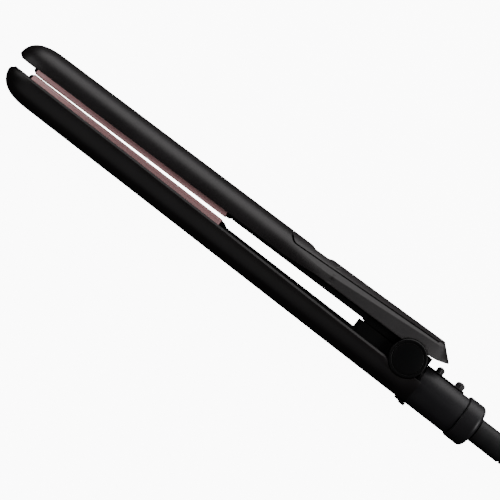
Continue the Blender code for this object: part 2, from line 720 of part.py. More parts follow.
def make_plate_set(arm, side, face, crown, parent):
    """A heating plate with its heater, the holder that carries both, and the holder's two springs."""
    rear_x = PLATE_FRONT_X + PLATE_LENGTH
    half = ARM_WIDTH / 2 - WALL - PLATE_SIDE_GAP
    back = face + PLATE_THICKNESS
    plate = box(
        arm + "_plate",
        (PLATE_FRONT_X, rear_x),
        (side * face, side * back),
        (MID_Z - half, MID_Z + half),
        ROSE,
        parent=parent,
    )
    bevel(plate, PLATE_EDGE)
    middle = (PLATE_FRONT_X + rear_x) / 2
    heater_back = back + GAP + HEATER_THICKNESS
    box(
        arm + "_heater",
        (middle - HEATER_LENGTH / 2, middle + HEATER_LENGTH / 2),
        (side * (back + GAP), side * heater_back),
        (MID_Z - HEATER_WIDTH / 2, MID_Z + HEATER_WIDTH / 2),
        HEATER_GREY,
        parent=parent,
    )
    low = heater_back + GAP
    top = low + HOLDER_THICKNESS
    front, rear = PLATE_FRONT_X - GAP, rear_x + GAP
    tip = face + HOLDER_LIFT
    outline = [
        (front - HOLDER_FRONT, tip + HOLDER_SLOPE),
        (front - HOLDER_FRONT * (1 - HOLDER_SLOPE_SHARE), tip),
        (front, tip),
        (front, low),
        (rear, low),
        (rear, tip),
        (rear + HOLDER_REAR * (1 - HOLDER_SLOPE_SHARE), tip),
        (rear + HOLDER_REAR, tip + HOLDER_SLOPE),
        (rear + HOLDER_REAR, top),
        (front - HOLDER_FRONT, top),
    ]
    plate_from(
        arm + "_plate_holder",
        [[(x, side * y) for x, y in outline]],
        MID_Z - HOLDER_HALF_WIDTH,
        MID_Z + HOLDER_HALF_WIDTH,
        parent=parent,
    )
    foot = top + GAP + PLATE_SPRING_WIRE
    length = crown - WALL - GAP - PLATE_SPRING_WIRE - foot
    for end, x in (("front", front + PLATE_SPRING_INSET), ("rear", rear - PLATE_SPRING_INSET)):
        count = 12 * PLATE_SPRING_TURNS
        coil = []
        for i in range(count + 1):
            angle = 2 * math.pi * i / 12
            coil.append(
                (
                    x + PLATE_SPRING_RADIUS * math.cos(angle),
                    side * (foot + length * i / count),
                    MID_Z + PLATE_SPRING_RADIUS * math.sin(angle),
                )
            )
        tube(f"{arm}_plate_spring_{end}", coil, PLATE_SPRING_WIRE, STEEL, parent=parent, resolution=1)


def make_hinge():
    """The yoke on the lower arm, the knuckle on the upper arm, their pin, spring and outer caps."""
    cheek_out = IRON_WIDTH / 2 - CAP_THICKNESS - GAP
    cheek_in = cheek_out - CHEEK_THICKNESS
    yoke = box(
        "hinge_yoke",
        (YOKE_FRONT_X, YOKE_REAR_X),
        (YOKE_TOP - YOKE_DEPTH, YOKE_TOP),
        (MID_Z - YOKE_HALF_WIDTH, MID_Z + YOKE_HALF_WIDTH),
    )
    for side, name in ((-1, "cheek_a"), (1, "cheek_b")):
        ends = ((0, 0, MID_Z + side * cheek_in), (0, 0, MID_Z + side * cheek_out))
        boolean(yoke, rod(name, CHEEK_RADIUS, *ends, cutter=True, sides=48), "UNION")
    pocket = ((0, 0, MID_Z - cheek_in), (0, 0, MID_Z + cheek_in))
    boolean(yoke, rod("barrel_pocket", BARREL_RADIUS + BARREL_GAP, *pocket, cutter=True, sides=40))
    ribbed = (KNUCKLE_FRONT_X + GAP, -RECESS_RADIUS)
    rib_heights = (YOKE_TOP - OVER, YOKE_TOP + STOP_RIB)
    rib_width = (MID_Z - STOP_RIB_HALF_WIDTH, MID_Z + STOP_RIB_HALF_WIDTH)
    boolean(yoke, box("stop_rib", ribbed, rib_heights, rib_width, cutter=True), "UNION")
    slot_half = FLANGE_HALF_WIDTH + GAP
    slot = ((0, 0, MID_Z - slot_half), (0, 0, MID_Z + slot_half))
    boolean(yoke, rod("flange_slot", FLANGE_RADIUS + GAP, *slot, cutter=True, sides=64))
    through = ((0, 0, -OVER), (0, 0, IRON_WIDTH + OVER))
    boolean(yoke, rod("pin_hole", PIN_RADIUS + GAP, *through, cutter=True))

    barrel_half = cheek_in - 1.5 * GAP
    low = YOKE_TOP + KNUCKLE_CLEARANCE
    knuckle = rod(
        "hinge_knuckle",
        BARREL_RADIUS,
        (0, 0, MID_Z - barrel_half),
        (0, 0, MID_Z + barrel_half),
        parent=UPPER_PIVOT,
        sides=40,
    )
    block = box(
        "knuckle_block",
        (KNUCKLE_FRONT_X, -RECESS_RADIUS),
        (low, low + KNUCKLE_THICKNESS),
        (MID_Z - YOKE_HALF_WIDTH, MID_Z + YOKE_HALF_WIDTH),
        cutter=True,
        parent=UPPER_PIVOT,
    )
    web = box(
        "knuckle_web",
        (-RECESS_RADIUS - OVER, PIN_RADIUS),
        (low, low + KNUCKLE_THICKNESS),
        (MID_Z - barrel_half, MID_Z + barrel_half),
        cutter=True,
        parent=UPPER_PIVOT,
    )
    boolean(knuckle, web, "UNION")
    boolean(knuckle, block, "UNION")
    groove = box(
        "stop_groove",
        (KNUCKLE_FRONT_X - OVER, -RECESS_RADIUS + OVER),
        (low - OVER, YOKE_TOP + STOP_RIB + GROOVE_CLEARANCE),
        (MID_Z - STOP_RIB_HALF_WIDTH - GAP, MID_Z + STOP_RIB_HALF_WIDTH + GAP),
        cutter=True,
        parent=UPPER_PIVOT,
    )
    boolean(knuckle, groove)
    flange = ((0, 0, MID_Z - FLANGE_HALF_WIDTH), (0, 0, MID_Z + FLANGE_HALF_WIDTH))
    round_flange = rod("knuckle_flange", FLANGE_RADIUS, *flange, cutter=True, parent=UPPER_PIVOT, sides=64)
    boolean(knuckle, round_flange, "UNION")
    tongue = box(
        "knuckle_tongue",
        (PIN_RADIUS, TONGUE_END_X),
        (-TONGUE_LOW, TAIL_START_Y),
        (MID_Z - FLANGE_HALF_WIDTH, MID_Z + FLANGE_HALF_WIDTH),
        cutter=True,
        parent=UPPER_PIVOT,
    )
    boolean(knuckle, tongue, "UNION")
    boolean(knuckle, rod("knuckle_hole", PIN_RADIUS + GAP, *through, cutter=True, parent=UPPER_PIVOT))
    pocket_floor = MID_Z - barrel_half / 2
    pocket = ((0, 0, pocket_floor), (0, 0, IRON_WIDTH))
    boolean(knuckle, rod("spring_pocket", SPRING_POCKET_RADIUS, *pocket, cutter=True, parent=UPPER_PIVOT))

    pin_half = cheek_out - GAP
    rod("hinge_pin", PIN_RADIUS, (0, 0, MID_Z - pin_half), (0, 0, MID_Z + pin_half), STEEL, sides=24)
    foot = pocket_floor + GAP + ARM_SPRING_WIRE
    length = MID_Z + barrel_half - ARM_SPRING_WIRE - foot
    count = 14 * ARM_SPRING_TURNS
    coil = []
    for i in range(count + 1):
        angle = 2 * math.pi * i / 14
        height = foot + length * i / count
        coil.append((ARM_SPRING_RADIUS * math.cos(angle), ARM_SPRING_RADIUS * math.sin(angle), height))
    tube("arm_spring", coil, ARM_SPRING_WIRE, STEEL)

    inner, outer = CAP_GROOVE_RADIUS - CAP_GROOVE, CAP_GROOVE_RADIUS + CAP_GROOVE
    profile = [(0, 0), (inner, 0), (inner, -CAP_GROOVE), (outer, -CAP_GROOVE), (outer, 0)]
    profile += [(DISC_RADIUS - CAP_EDGE, 0), (DISC_RADIUS, -CAP_EDGE)]
    profile += [(DISC_RADIUS, -CAP_THICKNESS), (0, -CAP_THICKNESS)]
    turned("hinge_cap_lower", profile, ((0, 0, 0), (0, 0, -1)), steps=64)
    turned("hinge_cap_upper", profile, ((0, 0, IRON_WIDTH), (0, 0, 1)), steps=64)


def make_neck():
    """The round neck behind the hinge, with its switch plate, two buttons and switch board."""
    start = LOWER_END_X + GAP
    length = NECK_END_X - start
    inner = NECK_RADIUS - NECK_WALL
    profile = [(inner, length), (NECK_RADIUS, length), (NECK_RADIUS, 0), (inner, 0), (inner, length)]
    neck = turned("neck_tube", profile, ((start, NECK_Y, MID_Z), (1, 0, 0)), SOFT_BLACK, steps=48)
    across = (0, IRON_WIDTH)
    along = (start - OVER, NECK_END_X + OVER)
    boolean(neck, box("neck_flat", along, (NECK_FLAT, NECK_FLAT + 3 * OVER), across, cutter=True))
    end = SWITCH_PLATE_X + SWITCH_PLATE_LENGTH
    half = SWITCH_PLATE_HALF_WIDTH
    under = SWITCH_PLATE_TOP - SWITCH_PLATE_THICKNESS
    pocket = box(
        "switch_pocket",
        (start - OVER, end + GAP),
        (under - GAP, NECK_FLAT + OVER),
        (MID_Z - half - GAP, MID_Z + half + GAP),
        cutter=True,
    )
    boolean(neck, pocket)
    plate = box(
        "switch_plate",
        (SWITCH_PLATE_X, end),
        (under, SWITCH_PLATE_TOP),
        (MID_Z - half, MID_Z + half),
        LINER_BLACK,
    )
    wall_under = NECK_Y + inner - BUTTON_SEAT
    foot = wall_under - GAP - BUTTON_FLANGE
    for name, x, radius in (
        ("power_button", POWER_X, POWER_RADIUS),
        ("temperature_button", TEMPERATURE_X, TEMPERATURE_RADIUS),
    ):
        height = BUTTON_TOP - foot
        flange = radius + BUTTON_FLANGE_STEP
        profile = [(0, height), (radius - BUTTON_EDGE, height), (radius, height - BUTTON_EDGE)]
        profile += [(radius, BUTTON_FLANGE), (flange, BUTTON_FLANGE), (flange, 0), (0, 0)]
        turned(name, profile, ((x, foot, MID_Z), (0, 1, 0)), LINER_BLACK, steps=28)
        well = ((x, foot - BUTTON_TRAVEL, MID_Z), (x, BUTTON_TOP + OVER, MID_Z))
        for piece in (neck, plate):
            boolean(piece, rod(f"{piece.name}_{name}", radius + GAP, *well, cutter=True))
        room = ((x, foot - BUTTON_TRAVEL, MID_Z), (x, wall_under + 5 * EPS, MID_Z))
        boolean(neck, rod(f"{name}_room", flange + GAP, *room, cutter=True))
    board_top = foot - BUTTON_TRAVEL - GAP
    box(
        "switch_board",
        (SWITCH_PLATE_X + SWITCH_BOARD_FRONT, end - SWITCH_BOARD_REAR),
        (board_top - BOARD_THICKNESS, board_top),
        (MID_Z - SWITCH_BOARD_HALF_WIDTH, MID_Z + SWITCH_BOARD_HALF_WIDTH),
        BOARD_GREEN,
    )


def make_lock():
    """The ribbed slide under the hinge that locks the arms together, with its stem through the shell."""
    top = NECK_Y - NECK_RADIUS
    notch_x = LOCK_X + LOCK_RIB
    second_x = notch_x + LOCK_NOTCH
    end_x = second_x + LOCK_RIB + LOCK_RIB_STEP
    notch_y = top - LOCK_LOW / 2
    outline = [
        (LOCK_X, top),
        (LOCK_X, top - LOCK_LOW),
        (notch_x, top - LOCK_LOW),
        (notch_x, notch_y),
        (second_x, notch_y),
        (second_x, top - LOCK_HIGH),
        (end_x, top - LOCK_HIGH),
        (end_x, top),
    ]
    low, high = MID_Z - LOCK_HALF_WIDTH, MID_Z + LOCK_HALF_WIDTH
    slide = plate_from("lock_slider", [outline], low, high)
    stem = box(
        "lock_stem",
        (LOCK_X, LOCK_X + LOCK_STEM),
        (top - LOCK_LOW / 2, -LOWER_CROWN + WALL + 3 * GAP),
        (MID_Z - LOCK_STEM, MID_Z + LOCK_STEM),
        cutter=True,
    )
    boolean(slide, stem, "UNION")


def make_collar():
    """The collar that closes the neck, the swivel it holds, and the tapered strain relief."""
    start = NECK_END_X + GAP
    length = COLLAR_END_X - start
    hole = RELIEF_RADIUS + GAP
    profile = [(hole, length)]
    for i in range(5):
        angle = math.pi / 2 * i / 4
        radius = COLLAR_RADIUS - COLLAR_ROUND + COLLAR_ROUND * math.sin(angle)
        profile.append((radius, length - COLLAR_ROUND + COLLAR_ROUND * math.cos(angle)))
    inner = COLLAR_RADIUS - COLLAR_WALL
    floor = length - COLLAR_WALL
    profile += [(COLLAR_RADIUS, 0), (inner, 0), (inner, floor), (hole, floor), (hole, length)]
    turned("cord_collar", profile, ((start, NECK_Y, MID_Z), (1, 0, 0)), SOFT_BLACK, steps=48)

    flange_x = start + floor - GAP - SWIVEL_FLANGE
    shank = COLLAR_END_X + 2 * GAP - flange_x
    profile = [(0, shank), (RELIEF_RADIUS, shank), (RELIEF_RADIUS, SWIVEL_FLANGE)]
    profile += [(SWIVEL_RADIUS, SWIVEL_FLANGE), (SWIVEL_RADIUS, 0), (0, 0)]
    turned("cable_swivel", profile, ((flange_x, NECK_Y, MID_Z), (1, 0, 0)), LINER_BLACK)

    relief_x = COLLAR_END_X + 3 * GAP
    length = RELIEF_LENGTH - RELIEF_CORD_GAP
    profile = [(0, length), (RELIEF_END_RADIUS, length)]
    profile += [(RELIEF_RADIUS, RELIEF_LENGTH - RELIEF_TAPER), (RELIEF_RADIUS, 0), (0, 0)]
    turned("strain_relief", profile, ((relief_x, NECK_Y, MID_Z), (1, 0, 0)), RUBBER)


def make_electrics():
    """The control board in the lower handle and the leads to the two heaters."""
    half = CONTROL_BOARD_HALF_WIDTH
    top = -LOWER_LIP - LINER_EMBED - CONTROL_BOARD_DEPTH
    box(
        "control_board",
        (CONTROL_BOARD_X, CONTROL_BOARD_X + CONTROL_BOARD_LENGTH),
        (top - BOARD_THICKNESS, top),
        (MID_Z - half, MID_Z + half),
        BOARD_GREEN,
    )
    plate_rear = PLATE_FRONT_X + PLATE_LENGTH
    heater_end = plate_rear - LEAD_START
    low = -LOWER_PLATE_FACE - PLATE_THICKNESS - GAP - HEATER_THICKNESS - GAP - HOLDER_THICKNESS
    lead_y = low - LEAD_RADIUS - PLATE_TRAVEL - GAP
    route = [
        (heater_end, lead_y, MID_Z),
        (plate_rear + HOLDER_REAR + 3 * GAP, lead_y - LEAD_DROP, MID_Z),
        (CONTROL_BOARD_X - GAP, top - LEAD_BOARD_DROP, MID_Z),
    ]
    tube("lower_heater_lead", route, LEAD_RADIUS, SILICONE)
    upper_low = UPPER_PLATE_FACE + PLATE_THICKNESS + 2 * GAP + HEATER_THICKNESS + HOLDER_THICKNESS
    upper_y = upper_low + LEAD_RADIUS + PLATE_TRAVEL + GAP
    route = [(heater_end, upper_y, MID_Z), (UPPER_LEAD_BEND_X, upper_y, MID_Z)]
    route.append((UPPER_LEAD_END_X, upper_y - LEAD_DROP, MID_Z))
    tube("upper_heater_lead", route, LEAD_RADIUS, SILICONE, parent=UPPER_PIVOT)


def racetrack(radius):
    """A run's outline in X and Y: two straights and two round ends about the hank's middle."""
    points = []
    for side in (1, -1):
        for i in range(ARC_STEPS):
            angle = math.pi * i / (ARC_STEPS - 1) - math.pi / 2
            x = side * (HANK_STRAIGHT + radius * math.cos(angle))
            points.append((HANK_X + x, NECK_Y + side * radius * math.sin(angle)))
    return points


def make_cord():
    """The cord's plain solids, its tie and its plug, lying behind the iron on the table."""
    tube("power_cord", smooth_curve(LEAD_ROUTE, CORD_STEP), CORD_RADIUS)
    outer = HANK_OUTER_RADIUS + CORD_RADIUS
    inner = HANK_OUTER_RADIUS - HANK_TURN_STEP * (HANK_ABREAST - 1) - CORD_RADIUS
    low = TIE_THICKNESS + GAP
    high = low + 2 * CORD_RADIUS + HANK_TURN_STEP * (HANK_LAYERS - 1)
    plate_from("cord_hank", [racetrack(outer), racetrack(inner)], low, high, RUBBER)
    lead_end = HANK_X - HANK_STRAIGHT
    start = (lead_end - outer, lead_end + GAP)
    run = NECK_Y - HANK_OUTER_RADIUS
    span = (run - CORD_RADIUS - OVER, run + CORD_RADIUS + 1.5 * OVER)
    hank = bpy.data.objects["cord_hank"]
    boolean(hank, box("lead_way", start, span, (-OVER, low + 2 * CORD_RADIUS + 2 * GAP), cutter=True))
    tail_x = HANK_X + HANK_STRAIGHT
    tail_run = NECK_Y + HANK_OUTER_RADIUS - HANK_TURN_STEP
    ways = (tail_run - CORD_RADIUS - GAP - TAIL_WAY_WIDTH, tail_run + CORD_RADIUS + GAP)
    top = (high - 2 * CORD_RADIUS - GAP, high + OVER)
    boolean(hank, box("tail_way", (tail_x - TAIL_WAY_LENGTH, tail_x + GAP), ways, top, cutter=True))
    tube("power_cord_tail", smooth_curve(TAIL_ROUTE, CORD_STEP), CORD_RADIUS)

    half = outer + GAP
    x = HANK_X + TIE_X
    tie = box(
        "cord_tie",
        (x - TIE_WIDTH / 2, x + TIE_WIDTH / 2),
        (NECK_Y - half - TIE_THICKNESS, NECK_Y + half + TIE_THICKNESS),
        (0, high + GAP + TIE_THICKNESS),
        RUBBER,
    )
    room = ((x - TIE_WIDTH, x + TIE_WIDTH), (NECK_Y - half, NECK_Y + half), (TIE_THICKNESS, high + GAP))
    boolean(tie, box("tie_room", *room, cutter=True))

    plug_low = high + TIE_THICKNESS + 2 * GAP
    plug_high = plug_low + PLUG_THICKNESS
    rear = HANK_X + PLUG_REAR_X
    face = rear - PLUG_LENGTH
    outline = []
    for share in (0.0, 0.25, 0.5, 0.75, 1.0):
        half_width = PLUG_NOSE_WIDTH / 2 + (PLUG_WIDTH - PLUG_NOSE_WIDTH) / 2 * math.sin(math.pi / 2 * share)
        outline.append((rear - PLUG_LENGTH * PLUG_TAPER_SHARE * share, half_width))
    outline.append((face, PLUG_WIDTH / 2))
    outline += [(px, -py) for px, py in reversed(outline)]
    outline = [(px, NECK_Y + py) for px, py in outline]
    bevel(plate_from("plug_body", [outline], plug_low, plug_high, RUBBER), PLUG_EDGE)
    height = (plug_low + plug_high) / 2
    for side, name in ((-1, "plug_pin_left"), (1, "plug_pin_right")):
        y = NECK_Y + side * PLUG_PIN_SPACING / 2
        ends = ((face - GAP, y, height), (face - GAP - PIN_LENGTH, y, height))
        rod(name, PLUG_PIN_RADIUS, *ends, STEEL, sides=16)


make_upper_shell()
make_panel()
make_lower_shell()
make_liner("upper_liner", 1, UPPER_LINER_FACE, UPPER_LIP, KNUCKLE_FRONT_X - GAP, UPPER_PIVOT)
make_liner("lower_liner", -1, LOWER_LINER_FACE, LOWER_LIP, YOKE_FRONT_X - GAP, None)
make_tip_insert("upper_tip_insert", 1, UPPER_INSERT_FACE, UPPER_LIP, UPPER_PIVOT)
make_tip_insert("lower_tip_insert", -1, LOWER_INSERT_FACE, LOWER_LIP, None)
make_plate_set("upper", 1, UPPER_PLATE_FACE, UPPER_CROWN, UPPER_PIVOT)
make_plate_set("lower", -1, LOWER_PLATE_FACE, LOWER_CROWN, None)
make_hinge()
make_neck()
make_lock()
make_collar()
make_electrics()
make_cord()
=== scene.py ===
"""Looks of a slim hair straightening iron, closed and lying on its side, built round its packed frame."""

import json
import math

import bmesh
import bpy
import numpy as np
from bpy.props import FloatProperty, FloatVectorProperty, IntProperty, PointerProperty, StringProperty
from mathutils import Matrix, Vector


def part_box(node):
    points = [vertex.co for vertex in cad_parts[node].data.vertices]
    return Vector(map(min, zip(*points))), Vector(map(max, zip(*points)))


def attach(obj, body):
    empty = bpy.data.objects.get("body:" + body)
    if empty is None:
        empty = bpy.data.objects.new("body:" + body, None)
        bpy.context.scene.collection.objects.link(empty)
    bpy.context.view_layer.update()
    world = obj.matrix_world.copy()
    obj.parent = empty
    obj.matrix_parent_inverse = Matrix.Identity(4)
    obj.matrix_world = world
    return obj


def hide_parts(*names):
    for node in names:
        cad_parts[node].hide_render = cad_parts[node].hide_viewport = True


bl_info = {
    "name": "Flat Iron",
    "version": (1, 0, 0),
    "blender": (4, 5, 0),
    "location": "3D View > Sidebar > Flat Iron",
    "description": "Builds the shells, plates, hinge, neck, cord and stage of a hair straightening iron",
    "category": "Add Mesh",
}

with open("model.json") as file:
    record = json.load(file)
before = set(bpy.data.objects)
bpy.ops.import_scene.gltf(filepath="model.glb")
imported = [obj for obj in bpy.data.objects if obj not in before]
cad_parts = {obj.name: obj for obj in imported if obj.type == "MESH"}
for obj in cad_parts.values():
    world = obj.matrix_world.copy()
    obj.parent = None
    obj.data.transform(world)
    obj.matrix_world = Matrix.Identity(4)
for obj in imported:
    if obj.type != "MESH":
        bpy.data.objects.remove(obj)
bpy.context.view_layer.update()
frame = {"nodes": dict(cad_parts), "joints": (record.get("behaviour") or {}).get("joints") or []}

MM = 0.001
BOXES = {name: (Vector(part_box(name)[0]), Vector(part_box(name)[1])) for name in frame["nodes"]}


def low(node, axis):
    """A node's lowest value along an axis, 0 to 2."""
    return BOXES[node][0][axis]


def high(node, axis):
    """A node's highest value along an axis, 0 to 2."""
    return BOXES[node][1][axis]


def half_depth(node):
    """Half of a node's size along Z."""
    return (high(node, 2) - low(node, 2)) / 2


MID_Z = (low("hinge_cap_lower", 2) + high("hinge_cap_upper", 2)) / 2
FULL_WIDTH = high("lower_shell", 2) - low("lower_shell", 2)
HINGE_RADIUS = high("hinge_cap_upper", 0)
NECK_RADIUS = half_depth("neck_tube")
NECK_Y = low("neck_tube", 1) + NECK_RADIUS
UPPER_JOINT = next(j for j in frame["joints"] if j["name"] == "upper_plate_float")
TOE_IN = math.atan2(-UPPER_JOINT["axis"][0], UPPER_JOINT["axis"][1])
TOE_TURN = Matrix.Rotation(TOE_IN, 4, "Z")


# Sizes and colours that a user would change

def metres(name, description, default):
    """A length for the sidebar."""
    return FloatProperty(name=name, description=description, default=default, unit="LENGTH")


class ShellSizes(bpy.types.PropertyGroup):
    """The two arms' shells, drawn with both arms parallel."""

    tip_x: metres("Tip", "Front end of both arms", -0.2280)
    wall: metres("Wall", "Thickness of a shell", 0.0016)
    nose: metres("Nose", "Length of the rounded nose", 0.0171)
    nose_power: FloatProperty(name="Nose power", description="How square the nose's curve is", default=2.5)
    nose_half_width: metres("Nose half width", "Half width at the very tip", 0.0035)
    upper_lip: metres("Upper lip", "Upper shell's edge beside the plate", 0.0038)
    upper_lip_handle: metres("Upper lip, handle", "Upper shell's edge along the handle", 0.0054)
    upper_crown: metres("Upper crown", "Top of the upper shell in front", 0.0159)
    upper_crown_rear: metres("Upper crown, rear", "Top of the upper shell at its rear corner", 0.01685)
    upper_tip_y: metres("Upper tip", "Upper shell's edge at the tip", 0.0056)
    lower_lip: metres("Lower lip", "Lower shell's edge in front", 0.0044)
    lower_lip_handle: metres("Lower lip, handle", "Lower shell's edge along the handle", 0.0052)
    lower_tip_y: metres("Lower tip", "Lower shell's edge at the tip", 0.006)
    lower_crown_rise: metres("Lower crown rise", "How much deeper the lower shell is by the hinge", 0.0003)
    lower_chamfer: metres("Lower chamfer", "Height of the bright chamfer on the lower lip", 0.00095)
    tail_x: metres("Tail", "Where the tail's underside turns up", 0.0080)
    narrow_x: metres("Narrowing", "Where the tail starts to narrow", 0.0005)
    narrow_power: FloatProperty(
        name="Narrowing power", description="How slowly the narrowing starts", default=1.5
    )
    tail_tip_x: metres("Tail tip", "Rear end of the upper shell", 0.0175)
    tail_half_width: metres("Tail half width", "Half width at the tail's tip", 0.0075)
    corner_x: metres("Rear corner", "Where the crown turns down", 0.0108)
    crease_x: metres("Crease", "Where the side starts to fold", -0.0781)
    crease_full_x: metres("Crease, full", "Where the fold is complete", -0.0501)
    crease_inset: metres("Crease inset", "How far the fold stands in", 0.0019)
    crease_inset_rear: metres("Crease inset, rear", "How far the fold stands in by the hinge", 0.0040)


class PanelSizes(bpy.types.PropertyGroup):
    """The panel set into the upper handle."""

    front_x: metres("Front", "Front seam", -0.0767)
    rear_x: metres("Rear", "Rear seam", 0.0081)
    corner: metres("Corner", "Length of the front corners", 0.0045)
    rear_rise: metres("Rear rise", "Length over which the seam turns up to the rear edge", 0.0102)
    thickness: metres("Thickness", "Panel thickness", 0.0015)
    seam: metres("Seam", "Gap round the panel", 0.00062)
    # Painted shade: the panel's black edge is a deep-black nylon strip under the shell that makes the seam
    # read as a dark line
    flange: metres("Flange", "How far the panel's black edge reaches under the shell", 0.0014)
    scallop_x: metres("Scallop", "Front of the thumb scallop", -0.0664)
    scallop_length: metres("Scallop length", "Its length", 0.0131)
    scallop_depth: metres("Scallop depth", "Its depth", 0.00095)
    scallop_ramp: metres("Scallop ramp", "Length of its ends", 0.0033)


class CordSizes(bpy.types.PropertyGroup):
    """The mains cord and the hank it is folded into."""

    diameter: metres("Diameter", "Cord diameter", 0.006)
    hank_x: metres("Hank", "Middle of the hank", 0.183)
    straight: metres("Straight", "Half a run's straight part", 0.036)
    outer_radius: metres("Outer radius", "Of the outer run's ends", 0.02405)
    step: metres("Step", "Distance between turns", 0.00605)
    lift: metres("Lift", "Height of the lowest turns' centre", 0.0041)
    points: IntProperty(name="Points", description="Points on a half turn's end", default=14, min=8)


class Colours(bpy.types.PropertyGroup):
    """Colours as sRGB hex."""

    shell: StringProperty(name="Shell", description="Soft-touch lacquer", default="171415")
    panel: StringProperty(name="Panel", description="Panel of the handle", default="2b2829")
    liner: StringProperty(name="Liner", description="Heatproof nylon", default="030304")
    plate: StringProperty(name="Plate", description="Ceramic coat of the plates", default="e3a3a6")
    plate_glow: StringProperty(name="Plate, light", description="Light flakes in the coat", default="f3cdcc")
    neck: StringProperty(name="Neck", description="Neck and collar", default="1c1b1e")
    rubber: StringProperty(name="Rubber", description="Cord and strain relief", default="141416")
    floor: StringProperty(name="Floor", description="Stage floor", default="ffffff")


class StageSizes(bpy.types.PropertyGroup):
    """The camera, the lights and the floor."""

    camera_x: metres("Camera X", "Point the camera stands over", -0.0877)
    camera_y: metres("Camera Y", "Point the camera stands over", -0.0050)
    distance: metres("Distance", "From the middle plane", 0.69)
    view_width: metres("View width", "Width seen at the middle plane", 0.234)
    turn: FloatProperty(
        name="Turn",
        description="The picture's turn about the camera's axis",
        default=math.radians(37.75),
        unit="ROTATION",
    )
    sun_colour: FloatVectorProperty(
        name="Light colour", description="Colour of the softboxes", default=(1.0, 0.98, 0.99), subtype="COLOR"
    )


# Materials

def linear(hex_colour):
    """An sRGB hex colour as linear red, green, blue and alpha."""
    channels = [int(hex_colour[i : i + 2], 16) / 255 for i in (0, 2, 4)]
    return (*[c / 12.92 if c <= 0.04045 else ((c + 0.055) / 1.055) ** 2.4 for c in channels], 1.0)


def add_node(tree, kind, settings=None, links=None):
    """Adds a node, sets its properties or inputs, and links its inputs from other nodes' outputs."""
    node = tree.nodes.new(kind)
    for name, value in (settings or {}).items():
        if name in node.inputs:
            node.inputs[name].default_value = value
        else:
            setattr(node, name, value)
    for name, (source, output) in (links or {}).items():
        tree.links.new(source.outputs[output], node.inputs[name])
    return node


def new_material(name, **surface):
    """An empty material with a Principled shader and an output, and object coordinates to work from."""
    material = bpy.data.materials.new(name)
    material.use_nodes = True
    tree = material.node_tree
    tree.nodes.clear()
    shader = add_node(tree, "ShaderNodeBsdfPrincipled", surface)
    add_node(tree, "ShaderNodeOutputMaterial", links={"Surface": (shader, "BSDF")})
    place = add_node(tree, "ShaderNodeTexCoord")
    return material, tree, shader, place


def colour_between(tree, factor, one, two, low_end=0.35, high_end=0.65):
    """A ramp between two hex colours, led by another node's output."""
    ramp = add_node(tree, "ShaderNodeValToRGB", links={"Fac": factor})
    ramp.color_ramp.elements[0].position = low_end
    ramp.color_ramp.elements[0].color = linear(one)
    ramp.color_ramp.elements[1].position = high_end
    ramp.color_ramp.elements[1].color = linear(two)
    return ramp


def noise(tree, source, scale, detail, **more):
    """Cloudy noise, placed by another node's output."""
    settings = {"Scale": scale, "Detail": detail, **more}
    return add_node(tree, "ShaderNodeTexNoise", settings, links={"Vector": source})


def lead_surface(tree, shader, colour, factor, least, most, normal=None):
    """Leads a shader's colour from a ramp, its roughness from a range and its normal from a bump."""
    tree.links.new(colour.outputs["Color"], shader.inputs["Base Color"])
    spread = {"To Min": least, "To Max": most}
    rough = add_node(tree, "ShaderNodeMapRange", spread, links={"Value": factor})
    tree.links.new(rough.outputs["Result"], shader.inputs["Roughness"])
    if normal:
        tree.links.new(normal.outputs["Normal"], shader.inputs["Normal"])


def grain_bump(tree, place, size, strength):
    """A fine bump whose grains are about size metres across."""
    grain = noise(tree, (place, "Object"), 1 / size, 2.0, Roughness=0.6)
    settings = {"Strength": strength, "Distance": 0.00002}
    return add_node(tree, "ShaderNodeBump", settings, links={"Height": (grain, "Fac")})


def lighter(hex_colour, share):
    """A hex colour moved towards white by a share."""
    channels = [int(hex_colour[i : i + 2], 16) for i in (0, 2, 4)]
    return "".join(f"{round(c + (255 - c) * share):02x}" for c in channels)


def moulded(name, hex_colour, least, most, grain=0.0003, bump=0.25, ior=1.5, patch=0.018):
    """Moulded plastic: a near-black pigment with faint cloudy patches, uneven gloss and a fine grain."""
    material, tree, shader, place = new_material(name, IOR=ior)
    cloud = noise(tree, (place, "Object"), 1 / patch, 4.0)
    colour = colour_between(tree, (cloud, "Fac"), hex_colour, lighter(hex_colour, 0.03))
    lead_surface(tree, shader, colour, (cloud, "Fac"), least, most, grain_bump(tree, place, grain, bump))
    return material


def ceramic_coat(colours):
    """Aluminium with a pearl ceramic coat: rose, with fine light flakes and a soft metallic sheen."""
    material, tree, shader, place = new_material("pearl_ceramic_coated_aluminium", Metallic=0.35, IOR=1.5)
    flake = add_node(
        tree, "ShaderNodeTexVoronoi", {"Scale": 1 / 0.0003}, links={"Vector": (place, "Object")}
    )
    cloud = noise(tree, (place, "Object"), 1 / 0.01, 3.0)
    base = colour_between(tree, (flake, "Distance"), colours.plate, colours.plate_glow, 0.2, 0.95)
    lead_surface(tree, shader, base, (cloud, "Fac"), 0.3, 0.38, grain_bump(tree, place, 0.0002, 0.12))
    return material


def streaked_metal(name, stretch, scale, detail, one, two, least, most):
    """Bare metal with fine lines or rubbed streaks, drawn out by stretch."""
    material, tree, shader, place = new_material(name, Metallic=1.0)
    along = add_node(tree, "ShaderNodeMapping", {"Scale": stretch}, links={"Vector": (place, "Object")})
    streaks = noise(tree, (along, "Vector"), scale, detail)
    colour = colour_between(tree, (streaks, "Fac"), one, two)
    lead_surface(tree, shader, colour, (streaks, "Fac"), least, most)
    return material


def speckled(name, one, two, size, least, most):
    """A plain inner material with speckles of two colours."""
    material, tree, shader, place = new_material(name)
    speck = noise(tree, (place, "Object"), 1 / size, 4.0)
    colour = colour_between(tree, (speck, "Fac"), one, two)
    lead_surface(tree, shader, colour, (speck, "Fac"), least, most)
    return material


